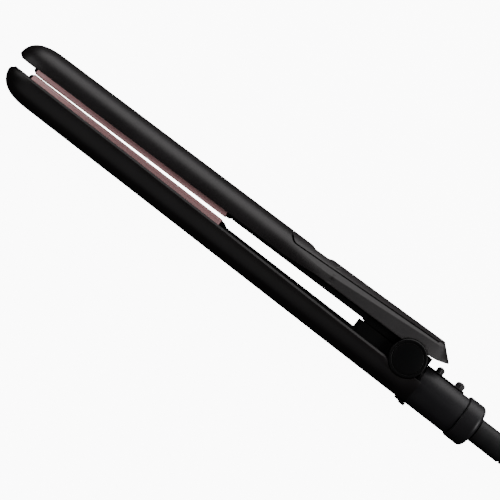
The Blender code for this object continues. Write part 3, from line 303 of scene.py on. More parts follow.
def tie_weave():
    """Woven nylon strap: ribs 0.8 mm apart across its length, dull and black."""
    material, tree, shader, place = new_material("woven_nylon_strap", IOR=1.5)
    weave = {"Scale": 1 / 0.0008 / 3.2, "Distortion": 0.6, "bands_direction": "X"}
    waves = add_node(tree, "ShaderNodeTexWave", weave, links={"Vector": (place, "Object")})
    colour = colour_between(tree, (waves, "Fac"), "0e0e10", "26262a")
    ribs = {"Strength": 0.6, "Distance": 0.0002}
    bump = add_node(tree, "ShaderNodeBump", ribs, links={"Height": (waves, "Fac")})
    lead_surface(tree, shader, colour, (waves, "Fac"), 0.7, 0.85, bump)
    return material


MATERIALS = {
    # ABS under a sprayed soft-touch lacquer: a velvety wide highlight with almost no sparkle
    "shell": lambda c: moulded("soft_touch_lacquered_abs", c.shell, 0.35, 0.41, bump=0.22),
    # The panel's satin lacquer, a little glossier than the shell, so its edge shows beside it
    "panel": lambda c: moulded("satin_lacquered_abs", c.panel, 0.34, 0.40, bump=0.2),
    # Nylon off a fine spark-eroded tool: deep black with only a faint edge of light
    "nylon": lambda c: moulded("moulded_nylon", c.liner, 0.38, 0.46, grain=0.0004, ior=1.38),
    # ABS with a fine etched grain: a cool grey, broad highlight
    "neck": lambda c: moulded("moulded_etched_abs", c.neck, 0.40, 0.47),
    # ABS with a fine grain, worn a little smoother in small patches
    "button": lambda c: moulded("moulded_button_abs", c.neck, 0.36, 0.46, bump=0.2, patch=0.002),
    # Thermoplastic rubber: black and matt with a soft sheen
    "rubber": lambda c: moulded("moulded_rubber", c.rubber, 0.48, 0.58, 0.0005, 0.3, patch=0.01),
    "plate": ceramic_coat,
    # Steel wire and pins with fine lines along the turn
    "steel": lambda c: streaked_metal("drawn_steel", (1, 1, 9), 900, 2, "8d8f92", "b9bbbd", 0.24, 0.4),
    # Nickel-plated brass, slightly rubbed along its length
    "brass": lambda c: streaked_metal(
        "nickel_plated_brass", (1, 12, 12), 160, 3, "b5ac98", "d3cdbd", 0.18, 0.32
    ),
    "tie": lambda c: tie_weave(),
    "board": lambda c: speckled("solder_masked_board", "0d3b1d", "175a2c", 0.0012, 0.3, 0.45),
    "heater": lambda c: speckled("polyimide_film", "8a6a2c", "b08a42", 0.002, 0.3, 0.5),
    "lead": lambda c: speckled("extruded_silicone", "8c1712", "a8251d", 0.003, 0.4, 0.5),
}


def material(key):
    """The material for a key, made when it is first asked for."""
    if key not in _made:
        _made[key] = MATERIALS[key](bpy.context.scene.iron_colours)
    return _made[key]


_made = {}


# Mesh helpers

def settle(obj, sharp=34):
    """Applies an object's modifiers and sets which edges are sharp."""
    bpy.context.view_layer.update()
    mesh = bpy.data.meshes.new_from_object(obj.evaluated_get(bpy.context.evaluated_depsgraph_get()))
    obj.modifiers.clear()
    obj.data = mesh
    mesh.shade_smooth()
    mesh.set_sharp_from_angle(angle=math.radians(sharp))


def add_object(name, bm, key):
    """A mesh object from a bmesh, with its faces out and its material."""
    bmesh.ops.recalc_face_normals(bm, faces=bm.faces)
    mesh = bpy.data.meshes.new(name)
    bm.to_mesh(mesh)
    bm.free()
    obj = bpy.data.objects.new(name, mesh)
    bpy.context.scene.collection.objects.link(obj)
    mesh.shade_smooth()
    mesh.set_sharp_from_angle(angle=math.radians(34))
    mesh.materials.append(material(key))
    return obj


def solid_through(name, rings, key):
    """A closed solid through rings with the same number of points."""
    bm = bmesh.new()
    made = [[bm.verts.new(point) for point in ring] for ring in rings]
    for one, two in zip(made, made[1:]):
        for i in range(len(one)):
            j = (i + 1) % len(one)
            bm.faces.new((one[i], one[j], two[j], two[i]))
    bm.faces.new(made[0])
    bm.faces.new(made[-1])
    return add_object(name, bm, key)


def turned(name, profile, origin, direction, key, steps=96):
    """A solid of revolution from (radius, height) points, round an axis from origin along direction."""
    turn = Vector((0, 0, 1)).rotation_difference(Vector(direction)).to_matrix()
    bm = bmesh.new()
    rings = []
    for radius, height in profile:
        if radius < 1e-7:
            rings.append([bm.verts.new(Vector(origin) + turn @ Vector((0, 0, height)))])
            continue
        ring = []
        for i in range(steps):
            angle = 2 * math.pi * i / steps
            point = Vector((radius * math.cos(angle), radius * math.sin(angle), height))
            ring.append(bm.verts.new(Vector(origin) + turn @ point))
        rings.append(ring)
    for one, two in zip(rings, rings[1:]):
        for i in range(steps):
            j = (i + 1) % steps
            corners = [one[i % len(one)], one[j % len(one)], two[j % len(two)], two[i % len(two)]]
            bm.faces.new(list(dict.fromkeys(corners)))
    return add_object(name, bm, key)


def rounded(points, radius, steps=4):
    """A profile with its inner corners rounded to a radius."""
    found = [points[0]]
    for before, corner, after in zip(points, points[1:], points[2:]):
        a, b, c = Vector(before), Vector(corner), Vector(after)
        cut = min(radius, (a - b).length * 0.45, (c - b).length * 0.45)
        start, end = b + (a - b).normalized() * cut, b + (c - b).normalized() * cut
        for i in range(steps + 1):
            t = i / steps
            found.append(tuple(start * (1 - t) ** 2 + b * 2 * t * (1 - t) + end * t**2))
    found.append(points[-1])
    return found


def soften(obj, width, segments=2, angle=50):
    """Rounds an object's sharp edges."""
    step = obj.modifiers.new("soften", "BEVEL")
    step.width = width
    step.segments = segments
    step.limit_method = "ANGLE"
    step.angle_limit = math.radians(angle)
    return obj


def cut(obj, cutter, operation="DIFFERENCE"):
    """Cuts one solid from another, or keeps what they share, and removes the cutter."""
    step = obj.modifiers.new("cut", "BOOLEAN")
    step.operation = operation
    step.solver = "EXACT"
    step.object = cutter
    settle(obj)
    bpy.data.objects.remove(cutter)


def join(obj, other):
    """Adds another object's mesh and materials to an object and removes the other."""
    first = len(obj.data.materials)
    bm = bmesh.new()
    bm.from_mesh(obj.data)
    count = len(bm.faces)
    bm.from_mesh(other.data)
    bm.faces.ensure_lookup_table()
    for face in bm.faces[count:]:
        face.material_index = first
    bm.to_mesh(obj.data)
    bm.free()
    obj.data.materials.append(other.data.materials[0])
    bpy.data.objects.remove(other)


def stand_for(obj, body, slot, *nodes):
    """Makes a piece ride on a body and stand for its CAD nodes, which it hides. The slot is not used."""
    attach(obj, body)
    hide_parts(*nodes)


def repaint(key, *nodes):
    """Gives carried-over CAD nodes a material."""
    for node in nodes:
        mesh = frame["nodes"][node].data
        mesh.materials.clear()
        mesh.materials.append(material(key))


def blend(start, end, value):
    """0 before start, 1 after end and a smooth step between."""
    t = min(1.0, max(0.0, (value - start) / (end - start)))
    return t * t * (3 - 2 * t)


# Shapes of the arms

NOSE_LIP_RISE = 4.5 * MM  # length over which the lips turn outwards at the tip
NOSE_STEPS = 18
HOLLOW_FROM = 0.3  # the hollow starts where the nose has this share of its full section
CROWN_RISE_X = -62.1 * MM
FOLD_X = -74.1 * MM  # where the crease and the seam have their heights
CREASE_Y, CREASE_RISE = 7.3 * MM, 0.077
SEAM_Y, SEAM_RISE = 11.5 * MM, 0.0435
TAIL_LIP_RISE = 1.4 * MM
TAIL_TURN_UP = 2.4 * MM
TAIL_TIP_HEIGHT = 0.9 * MM
LIP_FALL_X = -160 * MM
LIP_LOW_X = -34 * MM
ACROSS = (-2 * MM, 2 * MID_Z + 2 * MM)  # past both sides of the iron


def nose_stations(sizes, count):
    """(x, share) along the nose, where share is how much of the full section there is."""
    found = []
    for i in range(count, -1, -1):
        angle = math.radians(89.2) * i / count
        x = sizes.tip_x + sizes.nose - sizes.nose * math.sin(angle) ** (2 / sizes.nose_power)
        found.append((x, math.cos(angle) ** (2 / sizes.nose_power)))
    return found


def upper_lip(sizes, x):
    """Height of the upper shell's edge."""
    tail_y = sizes.upper_lip_handle + TAIL_LIP_RISE
    if x < sizes.crease_x:
        nose = max(0.0, sizes.tip_x + NOSE_LIP_RISE - x) / NOSE_LIP_RISE
        return sizes.upper_lip + (sizes.upper_tip_y - sizes.upper_lip) * nose**2
    if x < -HINGE_RADIUS:
        share = blend(sizes.crease_x, sizes.crease_full_x, x)
        height = sizes.upper_lip + (sizes.upper_lip_handle - sizes.upper_lip) * share
    elif x < sizes.tail_x:
        share = (x + HINGE_RADIUS) / (sizes.tail_x + HINGE_RADIUS)
        height = sizes.upper_lip_handle + (tail_y - sizes.upper_lip_handle) * share
    else:
        height = tail_y + TAIL_TURN_UP * ((x - sizes.tail_x) / (sizes.tail_tip_x - sizes.tail_x)) ** 1.6
    return height


def upper_crown(sizes, x):
    """Height of the upper shell along its middle, behind the nose."""
    if x <= sizes.corner_x:
        share = max(0.0, x - CROWN_RISE_X) / (sizes.corner_x - CROWN_RISE_X)
        return sizes.upper_crown + (sizes.upper_crown_rear - sizes.upper_crown) * share
    share = (x - sizes.corner_x) / (sizes.tail_tip_x - sizes.corner_x)
    end = upper_lip(sizes, sizes.tail_tip_x) + TAIL_TIP_HEIGHT
    return sizes.upper_crown_rear + (end - sizes.upper_crown_rear) * share


def seam_height(x):
    """Height of the panel's lower seam, where the side folds a second time."""
    return SEAM_Y + SEAM_RISE * (x - FOLD_X)


CREASE_AT = 0.375
SEAM_AT = 0.625
SECTION_SHARES = sorted(
    {i / 32 for i in range(33)} | {at + d for at in (CREASE_AT, SEAM_AT) for d in (-0.008, 0.008)}
)


def upper_section(sizes, x, lip, crown, half_width):
    """Half of the upper shell's outline, lip to crown: a half ellipse that folds in the handle."""
    height = crown - lip
    folded = blend(sizes.crease_x, sizes.crease_full_x, x)
    crease = min(CREASE_Y + CREASE_RISE * (x - FOLD_X), crown - 0.3 * height)
    seam = min(seam_height(x), crown - 0.1 * height)
    crease = max(lip + 0.2 * height, crease)
    seam = max(seam, crease + 0.1 * height)
    inset = sizes.crease_inset + (sizes.crease_inset_rear - sizes.crease_inset) * blend(-60 * MM, 2 * MM, x)
    crease_z = half_width - inset * min(1.0, half_width / FULL_WIDTH * 2)
    seam_z = crease_z - (seam - crease) * 0.95
    points = []
    for share in SECTION_SHARES:
        if share <= CREASE_AT:
            t = share / CREASE_AT
            y, z = lip + (crease - lip) * t, half_width + (crease_z - half_width) * t
        elif share <= SEAM_AT:
            t = (share - CREASE_AT) / (SEAM_AT - CREASE_AT)
            y, z = crease + (seam - crease) * t, crease_z + (seam_z - crease_z) * t
        else:
            z = seam_z * (1 - share) / (1 - SEAM_AT)
            y = crown - (crown - seam) * (z / seam_z) ** 2
        angle = math.pi / 2 * share
        round_y, round_z = lip + height * math.sin(angle), half_width * math.cos(angle)
        points.append((round_y + (y - round_y) * folded, round_z + (z - round_z) * folded))
    return points


def both_sides(x, half):
    """A row of points at x over both sides of the middle plane."""
    return [(x, y, MID_Z + z) for y, z in half] + [(x, y, MID_Z - z) for y, z in reversed(half[:-1])]


def upper_stations(sizes):
    """Where the upper shell's rows lie behind its nose."""
    stations = list(np.arange(sizes.tip_x + sizes.nose + 8 * MM, sizes.crease_x, 8 * MM))
    stations += list(np.arange(sizes.crease_x, sizes.crease_full_x, 1 * MM))
    stations += list(np.arange(sizes.crease_full_x, sizes.tail_x - MM, 2 * MM))
    stations += [sizes.tail_x, sizes.corner_x]
    stations += list(np.linspace(sizes.corner_x, sizes.tail_tip_x, 5)[1:])
    return stations


def skirted(x, half, skirt):
    """A closed ring at x from half a section, with its open side moved out by skirt."""
    both = both_sides(x, half)
    if skirt:
        away = skirt if half[0][0] < half[-1][0] else -skirt
        start, end = both[0], both[-1]
        both = [(start[0], start[1] - away, start[2]), *both, (end[0], end[1] - away, end[2])]
    return both


def upper_rings(sizes, inset, skirt):
    """Rings of the upper shell's outside, or of its hollow when inset is its wall."""
    rings = []
    full = FULL_WIDTH / 2
    tip = sizes.upper_tip_y
    for x, share in nose_stations(sizes, NOSE_STEPS):
        if inset and share < HOLLOW_FROM:
            continue
        width = sizes.nose_half_width + (full - sizes.nose_half_width) * share
        crown = tip + 0.5 * MM + (sizes.upper_crown - tip - 0.5 * MM) * share
        where = x + inset * (1 - share)
        lip = min(upper_lip(sizes, x), crown - 0.5 * MM)
        rings.append(skirted(where, upper_section(sizes, x, lip, crown - inset, width - inset), skirt))
    for x in upper_stations(sizes):
        if inset and x > sizes.corner_x - inset:
            continue
        narrow = (max(0.0, x - sizes.narrow_x) / (sizes.tail_tip_x - sizes.narrow_x)) ** sizes.narrow_power
        width = full - (full - sizes.tail_half_width) * narrow
        crown = upper_crown(sizes, x) - inset
        rings.append(skirted(x, upper_section(sizes, x, upper_lip(sizes, x), crown, width - inset), skirt))
    return rings


def hinge_recess(name):
    """A round cutter through both arms where the hinge sits."""
    radius = HINGE_RADIUS + 0.3 * MM
    profile = [(0, ACROSS[0]), (radius, ACROSS[0]), (radius, ACROSS[1]), (0, ACROSS[1])]
    return turned(name, profile, (0, 0, 0), (0, 0, 1), "shell", 128)


class IRON_OT_upper_shell(bpy.types.Operator):
    """Upper arm's shell with its folded handle, its tail and the window for the panel"""

    bl_idname = "iron.upper_shell"
    bl_label = "Upper shell"

    def execute(self, context):
        sizes, panel = context.scene.iron_shell, context.scene.iron_panel
        shell = solid_through("upper_shell_lacquered", upper_rings(sizes, 0.0, 0.0), "shell")
        cut(shell, solid_through("hollow", upper_rings(sizes, sizes.wall, 3 * MM), "shell"))
        cut(shell, hinge_recess("recess"))
        cut(shell, panel_prism(sizes, panel, panel.seam))
        settle(soften(shell, 0.16 * MM, 2, 38), 32)
        shell.data.transform(TOE_TURN)
        stand_for(shell, "upper_arm", "soft_touch_black", "upper_shell")
        return {"FINISHED"}


def panel_prism(sizes, panel, gap):
    """The panel's outline from the side, larger by gap, as a prism over the iron's whole width."""
    top = sizes.upper_crown_rear + 3 * MM
    tight = min(gap, 0.12 * MM)
    front, rear = panel.front_x - gap, panel.rear_x + tight
    outline = [(panel.front_x - tight, top), (panel.front_x - tight, sizes.upper_crown - sizes.wall)]
    for i in range(1, 9):
        angle = math.pi / 2 * i / 8
        x = front + panel.corner * (1 - math.cos(angle)) ** 0.8
        end_y = seam_height(front + panel.corner) - gap
        y = sizes.upper_crown - gap - (sizes.upper_crown - gap - end_y) * math.sin(angle) ** 1.2
        if y < sizes.upper_crown - sizes.wall - gap:
            outline.append((x, y))
    rise_x = rear - panel.rear_rise
    outline += [(x, seam_height(x) - gap) for x in np.linspace(front + panel.corner, rise_x, 12)[1:]]
    outline.append((rear - 0.4 * MM, sizes.upper_crown_rear - 1.8 * MM - gap))
    outline += [(rear, sizes.upper_crown_rear - 1.4 * MM), (rear, top)]
    rows = [[(x, y, z) for x, y in outline] for z in ACROSS]
    return solid_through("panel_prism", rows, "shell")


def scallop_cutter(sizes, panel):
    """A smooth hollow across the panel for the thumb."""
    start, end = panel.scallop_x, panel.scallop_x + panel.scallop_length
    top = sizes.upper_crown + 3 * MM
    outline = [(start - 1 * MM, top)]
    for x in np.linspace(start - 1 * MM, end + 1 * MM, 36):
        dip = panel.scallop_depth * (
            blend(start, start + panel.scallop_ramp, x) - blend(end - panel.scallop_ramp, end, x)
        )
        outline.append((x, upper_crown(sizes, x) + 0.02 * MM - dip * 1.02))
    outline.append((end + 1 * MM, top))
    rows = [[(x, y, z) for x, y in outline] for z in (0, 2 * MID_Z)]
    return solid_through("scallop", rows, "shell")


class IRON_OT_handle_panel(bpy.types.Operator):
    """Panel set flush into the handle, with its thumb scallop"""

    bl_idname = "iron.handle_panel"
    bl_label = "Handle panel"

    def execute(self, context):
        sizes, panel = context.scene.iron_shell, context.scene.iron_panel
        obj = solid_through("handle_panel_lacquered", upper_rings(sizes, 0.0, 0.0), "panel")
        cut(obj, panel_prism(sizes, panel, 0.0), "INTERSECT")
        cut(obj, solid_through("hollow", upper_rings(sizes, panel.thickness, 3 * MM), "shell"))
        cut(obj, scallop_cutter(sizes, panel))
        settle(soften(obj, 0.14 * MM, 2, 38), 32)
        # Painted shade: a deep-black nylon strip under the shell's edge, seen through the seam, darkens the
        # gap round the panel
        flange = solid_through("flange", upper_rings(sizes, sizes.wall + 0.02 * MM, 0.0), "nylon")
        cut(flange, panel_prism(sizes, panel, panel.flange), "INTERSECT")
        cut(flange, solid_through("hollow", upper_rings(sizes, sizes.wall + 0.7 * MM, 3 * MM), "nylon"))
        join(obj, flange)
        obj.data.transform(TOE_TURN)
        stand_for(obj, "upper_arm", "panel_black", "handle_panel")
        return {"FINISHED"}


class IRON_OT_lower_shell(bpy.types.Operator):
    """Lower arm's shell with the bright chamfer along its lip and the recess under the hinge"""

    bl_idname = "iron.lower_shell"
    bl_label = "Lower shell"

    def execute(self, context):
        sizes = context.scene.iron_shell
        shell = solid_through("lower_shell_lacquered", lower_rings(sizes, 0.0, 0.0), "shell")
        cut(shell, solid_through("hollow", lower_rings(sizes, sizes.wall, 3 * MM), "shell"))
        cut(shell, hinge_recess("recess"))
        settle(soften(shell, 0.12 * MM, 2, 42), 32)
        stand_for(shell, "lower_arm", "soft_touch_black", "lower_shell")
        return {"FINISHED"}


def lower_rings(sizes, inset, skirt):
    """Rings of the lower shell's outside, or of its hollow when inset is its wall."""
    rings = []
    full, crown = FULL_WIDTH / 2, -low("lower_shell", 1)
    end = high("lower_shell", 0) - inset
    tip = sizes.lower_tip_y + 0.6 * MM
    stations = [(x, 1.0) for x in np.arange(sizes.tip_x + sizes.nose + 8 * MM, end, 8 * MM)]
    for x, share in [*nose_stations(sizes, NOSE_STEPS), *stations, (end, 1.0)]:
        if inset and share < HOLLOW_FROM:
            continue
        width = sizes.nose_half_width + (full - sizes.nose_half_width) * share
        rise = sizes.lower_crown_rise * min(1.0, max(0.0, 1 + x / (150 * MM)))
        deep = tip + (crown + rise - tip) * share
        nose = max(0.0, sizes.tip_x + NOSE_LIP_RISE - x) / NOSE_LIP_RISE
        behind = min(1.0, max(0.0, (x - LIP_FALL_X) / (LIP_LOW_X - LIP_FALL_X)))
        lip = sizes.lower_lip + (sizes.lower_tip_y - sizes.lower_lip) * nose**2
        lip += (sizes.lower_lip_handle - sizes.lower_lip) * behind
        where = x + inset * (1 - share)
        chamfer = sizes.lower_chamfer if x < 0 else 0.1 * MM
        half = lower_section(chamfer, lip, deep, width, inset)
        rings.append(skirted(where, half, skirt))
    return rings


def lower_section(chamfer, lip, crown, half_width, inset):
    """Half of the lower shell's outline, from its chamfered lip to its crown, drawn in by inset."""
    chamfer = min(chamfer, (crown - lip) * 0.3)
    points = []
    for i in range(4):
        points.append((-lip - chamfer * i / 4, half_width - chamfer * 0.75 * (1 - i / 4) - inset))
    start = lip + chamfer
    for i in range(33):
        angle = math.pi / 2 * i / 32
        y = -start - (crown - inset - start) * math.sin(angle)
        points.append((y, (half_width - inset) * math.cos(angle)))
    return points


class IRON_OT_tip_inserts(bpy.types.Operator):
    """Black blocks that close the arms in front of the plates, drawn to the nose's own curve"""

    bl_idname = "iron.tip_inserts"
    bl_label = "Tip inserts"

    def execute(self, context):
        sizes = context.scene.iron_shell
        margin = 1.1 * MM
        for arm, side, lip, turn in (
            ("upper", 1, sizes.upper_lip, TOE_TURN),
            ("lower", -1, sizes.lower_lip, Matrix.Identity(4)),
        ):
            node = f"{arm}_tip_insert"
            points = [turn.inverted() @ v.co for v in frame["nodes"][node].data.vertices]
            rear = max(p.x for p in points)
            face = min(side * p.y for p in points)
            edge = []
            for x, share in nose_stations(sizes, 24):
                if share > 0.22 and x + margin * (1 - share) + 0.6 * MM < rear:
                    half = sizes.nose_half_width + (FULL_WIDTH / 2 - sizes.nose_half_width) * share - margin
                    edge.append((x + margin * (1 - share) + 0.6 * MM, half))
            edge.append((rear, edge[-1][1]))
            outline = edge + [(x, -z) for x, z in reversed(edge)]
            rows = []
            levels = [(face, 0.35 * MM), (face + 0.1 * MM, 0.1 * MM), (face + 0.35 * MM, 0.0)]
            for y, less in [*levels, (lip + 1.4 * MM, 0.0)]:
                rows.append(
                    [
                        (x + less * (x < rear - 1 * MM), side * y, MID_Z + z - math.copysign(less, z))
                        for x, z in outline
                    ]
                )
            obj = solid_through(node + "_moulded", rows, "nylon")
            obj.data.transform(turn)
            stand_for(obj, f"{arm}_arm", "heatproof_black", node)
        return {"FINISHED"}


class IRON_OT_plates(bpy.types.Operator):
    """The two coated heating plates, with softened edges and a fine step along their sides"""

    bl_idname = "iron.plates"
    bl_label = "Heating plates"

    def execute(self, context):
        for arm, turn in (("upper", TOE_IN), ("lower", 0.0)):
            node = f"{arm}_plate"
            back = Matrix.Rotation(-turn, 4, "Z")
            points = [back @ v.co for v in frame["nodes"][node].data.vertices]
            lows = [min(p[k] for p in points) for k in range(3)]
            tops = [max(p[k] for p in points) for k in range(3)]
            side = 1 if arm == "upper" else -1
            face, rear = (lows[1], tops[1]) if side > 0 else (tops[1], lows[1])
            half = (tops[2] - lows[2]) / 2
            step = 0.35 * MM
            deep = 0.18 * MM
            outline = [
                (face, half - 0.6 * MM),
                (face + side * 0.18 * MM, half - 0.2 * MM),
                (face + side * 0.55 * MM, half),
                (face + side * (0.55 * MM + 2 * step), half),
                (face + side * (0.55 * MM + 2 * step), half - deep),
                (face + side * (0.55 * MM + 3 * step), half - deep),
                (face + side * (0.55 * MM + 3 * step), half),
                (rear, half),
            ]
            ring = [(y, z) for y, z in outline] + [(y, -z) for y, z in reversed(outline)]
            stations = [lows[0], lows[0] + 0.25 * MM, lows[0] + 0.8 * MM]
            shrink = [0.7 * MM, 0.2 * MM, 0.0]
            rows = []
            ends = list(zip(stations, shrink))
            ends += [(tops[0] + lows[0] - x, less) for x, less in reversed(ends)]
            for x, less in ends:
                row = []
                for y, z in ring:
                    y += side * less * (abs(y - face) < 0.3 * MM) * 0.4
                    row.append((x, y, MID_Z + z - math.copysign(less, z)))
                rows.append(row)
            obj = solid_through(f"{arm}_plate_coated", rows, "plate")
            obj.data.transform(Matrix.Rotation(turn, 4, "Z"))
            stand_for(obj, f"{arm}_plate_set", "rose_ceramic", node)
        return {"FINISHED"}


class IRON_OT_hinge(bpy.types.Operator):
    """Round hinge caps with a raised rim and a flat inner disc"""

    bl_idname = "iron.hinge"
    bl_label = "Hinge caps"

    def execute(self, context):
        radius = HINGE_RADIUS
        for node, base, side in (("hinge_cap_lower", 0.0, -1), ("hinge_cap_upper", 2 * MID_Z, 1)):
            thick = high(node, 2) - low(node, 2)
            inner, groove = radius - 1.9 * MM, radius - 1.45 * MM
            profile = [
                (0, 0),
                (inner, 0),
                (inner, -0.35 * MM),
                (groove, -0.35 * MM),
                (groove, 0),
                (radius - 0.45 * MM, 0),
                (radius, -0.45 * MM),
                (radius, -thick),
                (0, -thick),
            ]
            profile = rounded(profile, 0.12 * MM, 3)
            cap = turned(node + "_moulded", profile, (0, 0, base), (0, 0, side), "nylon", 128)
            stand_for(cap, "lower_arm", "heatproof_black", node)
        return {"FINISHED"}


class IRON_OT_neck(bpy.types.Operator):
    """Round neck with its flat, the switch plate, the two ribbed buttons and the collar"""

    bl_idname = "iron.neck"
    bl_label = "Neck, buttons and collar"

    def execute(self, context):
        start, end = low("neck_tube", 0) - 1.95 * MM, high("neck_tube", 0)
        axis = Vector((start, NECK_Y, MID_Z))
        wall = 2 * MM
        length = end - start
        foot, foot_radius = low("neck_tube", 0) - start - 0.8 * MM, NECK_RADIUS - 0.25 * MM
        profile = [(NECK_RADIUS - wall, length), (NECK_RADIUS, length), (NECK_RADIUS, foot)]
        profile += [(foot_radius, foot), (foot_radius, 0), (NECK_RADIUS - wall, 0)]
        profile = [profile[0], *rounded(profile, 0.2 * MM)[1:-1], profile[-1], profile[0]]
        neck = turned("neck_moulded", profile, axis, (1, 0, 0), "neck", 160)
        weld(neck)
        top = high("neck_tube", 1)
        cut(neck, block("flat_cutter", (start - MM, end + MM), (top, top + 4 * MM), (0, 2 * MID_Z)))
        plate_low, plate_top = low("switch_plate", 1), high("switch_plate", 1)
        half = half_depth("switch_plate")
        plate_x = (low("switch_plate", 0) - 0.65 * MM, high("switch_plate", 0))
        room = 0.25 * MM
        cut(
            neck,
            block(
                "pocket_cutter",
                (start - MM, plate_x[1] + room),
                (plate_low - room, plate_top + 3 * MM),
                (MID_Z - half - room, MID_Z + half + room),
            ),
        )
        shell_end = high("lower_shell", 0) + 0.1 * MM
        inside = (start - MM, shell_end)
        cut(neck, block("foot_cutter", inside, (-3 * NECK_RADIUS, -5.2 * MM), (-MM, 2 * MID_Z + MM)))
        tongue = (MID_Z - 2.8 * MM, MID_Z + 2.8 * MM)
        cut(neck, block("tongue_cutter", inside, (-3 * MM, 3 * NECK_RADIUS), tongue))
        neck.data.materials.append(material("nylon"))
        for face in neck.data.polygons:
            if face.center.x < start + foot - 0.02 * MM:
                face.material_index = 1
        stand_for(neck, "lower_arm", "soft_touch_black", "neck_tube")
        across = (MID_Z - half, MID_Z + half)
        plate = block("switch_plate_moulded", plate_x, (plate_low, plate_top), across, "nylon")
        settle(soften(plate, 0.35 * MM, 3, 40))
        stand_for(plate, "lower_arm", "heatproof_black", "switch_plate")
        for node in ("power_button", "temperature_button"):
            ribbed_button(node)
        collar()
        return {"FINISHED"}


def weld(obj):
    """Welds a closed profile's seam."""
    bm = bmesh.new()
    bm.from_mesh(obj.data)
    bmesh.ops.remove_doubles(bm, verts=bm.verts, dist=1e-6)
    bmesh.ops.recalc_face_normals(bm, faces=bm.faces)
    bm.to_mesh(obj.data)
    bm.free()


def block(name, x, y, z, key="shell"):
    """A box from its ends on each axis."""
    bm = bmesh.new()
    bmesh.ops.create_cube(bm, size=1)
    bmesh.ops.scale(bm, vec=(x[1] - x[0], y[1] - y[0], z[1] - z[0]), verts=bm.verts)
    bmesh.ops.translate(bm, vec=Vector((sum(x), sum(y), sum(z))) / 2, verts=bm.verts)
    return add_object(name, bm, key)


def ribbed_button(node):
    """A push button: a stem with fine grip ribs round it, a domed top and a flange under the neck's wall."""
    middle_x = (low(node, 0) + high(node, 0)) / 2
    foot, top = low(node, 1), high(node, 1)
    radius = 2.0 * MM if node == "power_button" else 2.35 * MM
    flange = (high(node, 0) - low(node, 0)) / 2
    dome = 1.5 * MM
    levels = [(0.6 * MM, 0.0)]
    for i in range(9):
        angle = math.radians(80) * i / 8
        rise = dome * math.sin(angle) / math.sin(math.radians(80))
        levels.append((top - foot - dome + rise, 1 - math.cos(angle)))
    ribs, steps = 18, 108
    rings = []
    for height, drawn in [(0.0, None), (0.6 * MM, None), *levels]:
        ring = []
        for i in range(steps):
            angle = 2 * math.pi * i / steps
            if drawn is None:
                r = flange
            else:
                rib = 0.07 * MM * (1 + math.cos(ribs * angle)) * (1 - drawn) * (drawn < 0.2)
                r = radius * (1 - drawn) - rib
            ring.append((middle_x + r * math.cos(angle), foot + height, MID_Z + r * math.sin(angle)))
        rings.append(ring)
    stand_for(solid_through(node + "_ribbed", rings, "button"), node, "button_black", node)


def collar():
    """The collar behind the neck with a rounded rear edge and a lead-in round its seam."""
    start, end = low("cord_collar", 0), high("cord_collar", 0)
    radius = half_depth("cord_collar") + 0.3 * MM
    hole = half_depth("strain_relief") + 0.3 * MM
    wall, length, curve = 1.6 * MM, end - start, 2.4 * MM
    profile = [(hole, length - 0.3 * MM), (hole + 0.3 * MM, length)]
    for i in range(9):
        angle = math.pi / 2 * i / 8
        profile.append((radius - curve + curve * math.sin(angle), length - curve + curve * math.cos(angle)))
    profile += [(radius, 0.35 * MM), (radius - 0.3 * MM, 0), (radius - wall, 0)]
    profile.append((radius - wall, length - wall))
    profile += [(hole, length - wall), (hole, length - 0.3 * MM)]
    obj = turned("cord_collar_moulded", profile, (start, NECK_Y, MID_Z), (1, 0, 0), "neck", 160)
    weld(obj)
    stand_for(obj, "lower_arm", "soft_touch_black", "cord_collar")


class IRON_OT_strain_relief(bpy.types.Operator):
    """Tapered strain relief, plain at first and grooved towards its end"""

    bl_idname = "iron.strain_relief"
    bl_label = "Strain relief"

    def execute(self, context):
        start, end = low("strain_relief", 0), high("strain_relief", 0)
        base = half_depth("strain_relief")
        tip, length, plain = 4.2 * MM, end - start, 17 * MM
        profile = [(0, 0), (base - 0.3 * MM, 0), (base, 0.3 * MM), (base, plain - 1 * MM)]
        grooves = 6
        pitch = (length - plain - 1.2 * MM) / grooves
        for i in range(grooves):
            x = plain + pitch * i
            outer = base + (tip - base) * (x - plain) / (length - plain)
            profile += [(outer, x), (outer - 0.7 * MM, x + 0.35 * MM), (outer - 0.7 * MM, x + pitch * 0.42)]
            profile += [(outer - 0.1 * MM, x + pitch * 0.42 + 0.35 * MM)]
        profile += [(tip, length - 1.2 * MM), (tip, length - 0.3 * MM), (tip - 0.3 * MM, length), (0, length)]
        obj = turned("strain_relief_moulded", profile, (start, NECK_Y, MID_Z), (1, 0, 0), "rubber", 96)
        stand_for(obj, "swivel", "cord_rubber", "strain_relief")
        return {"FINISHED"}


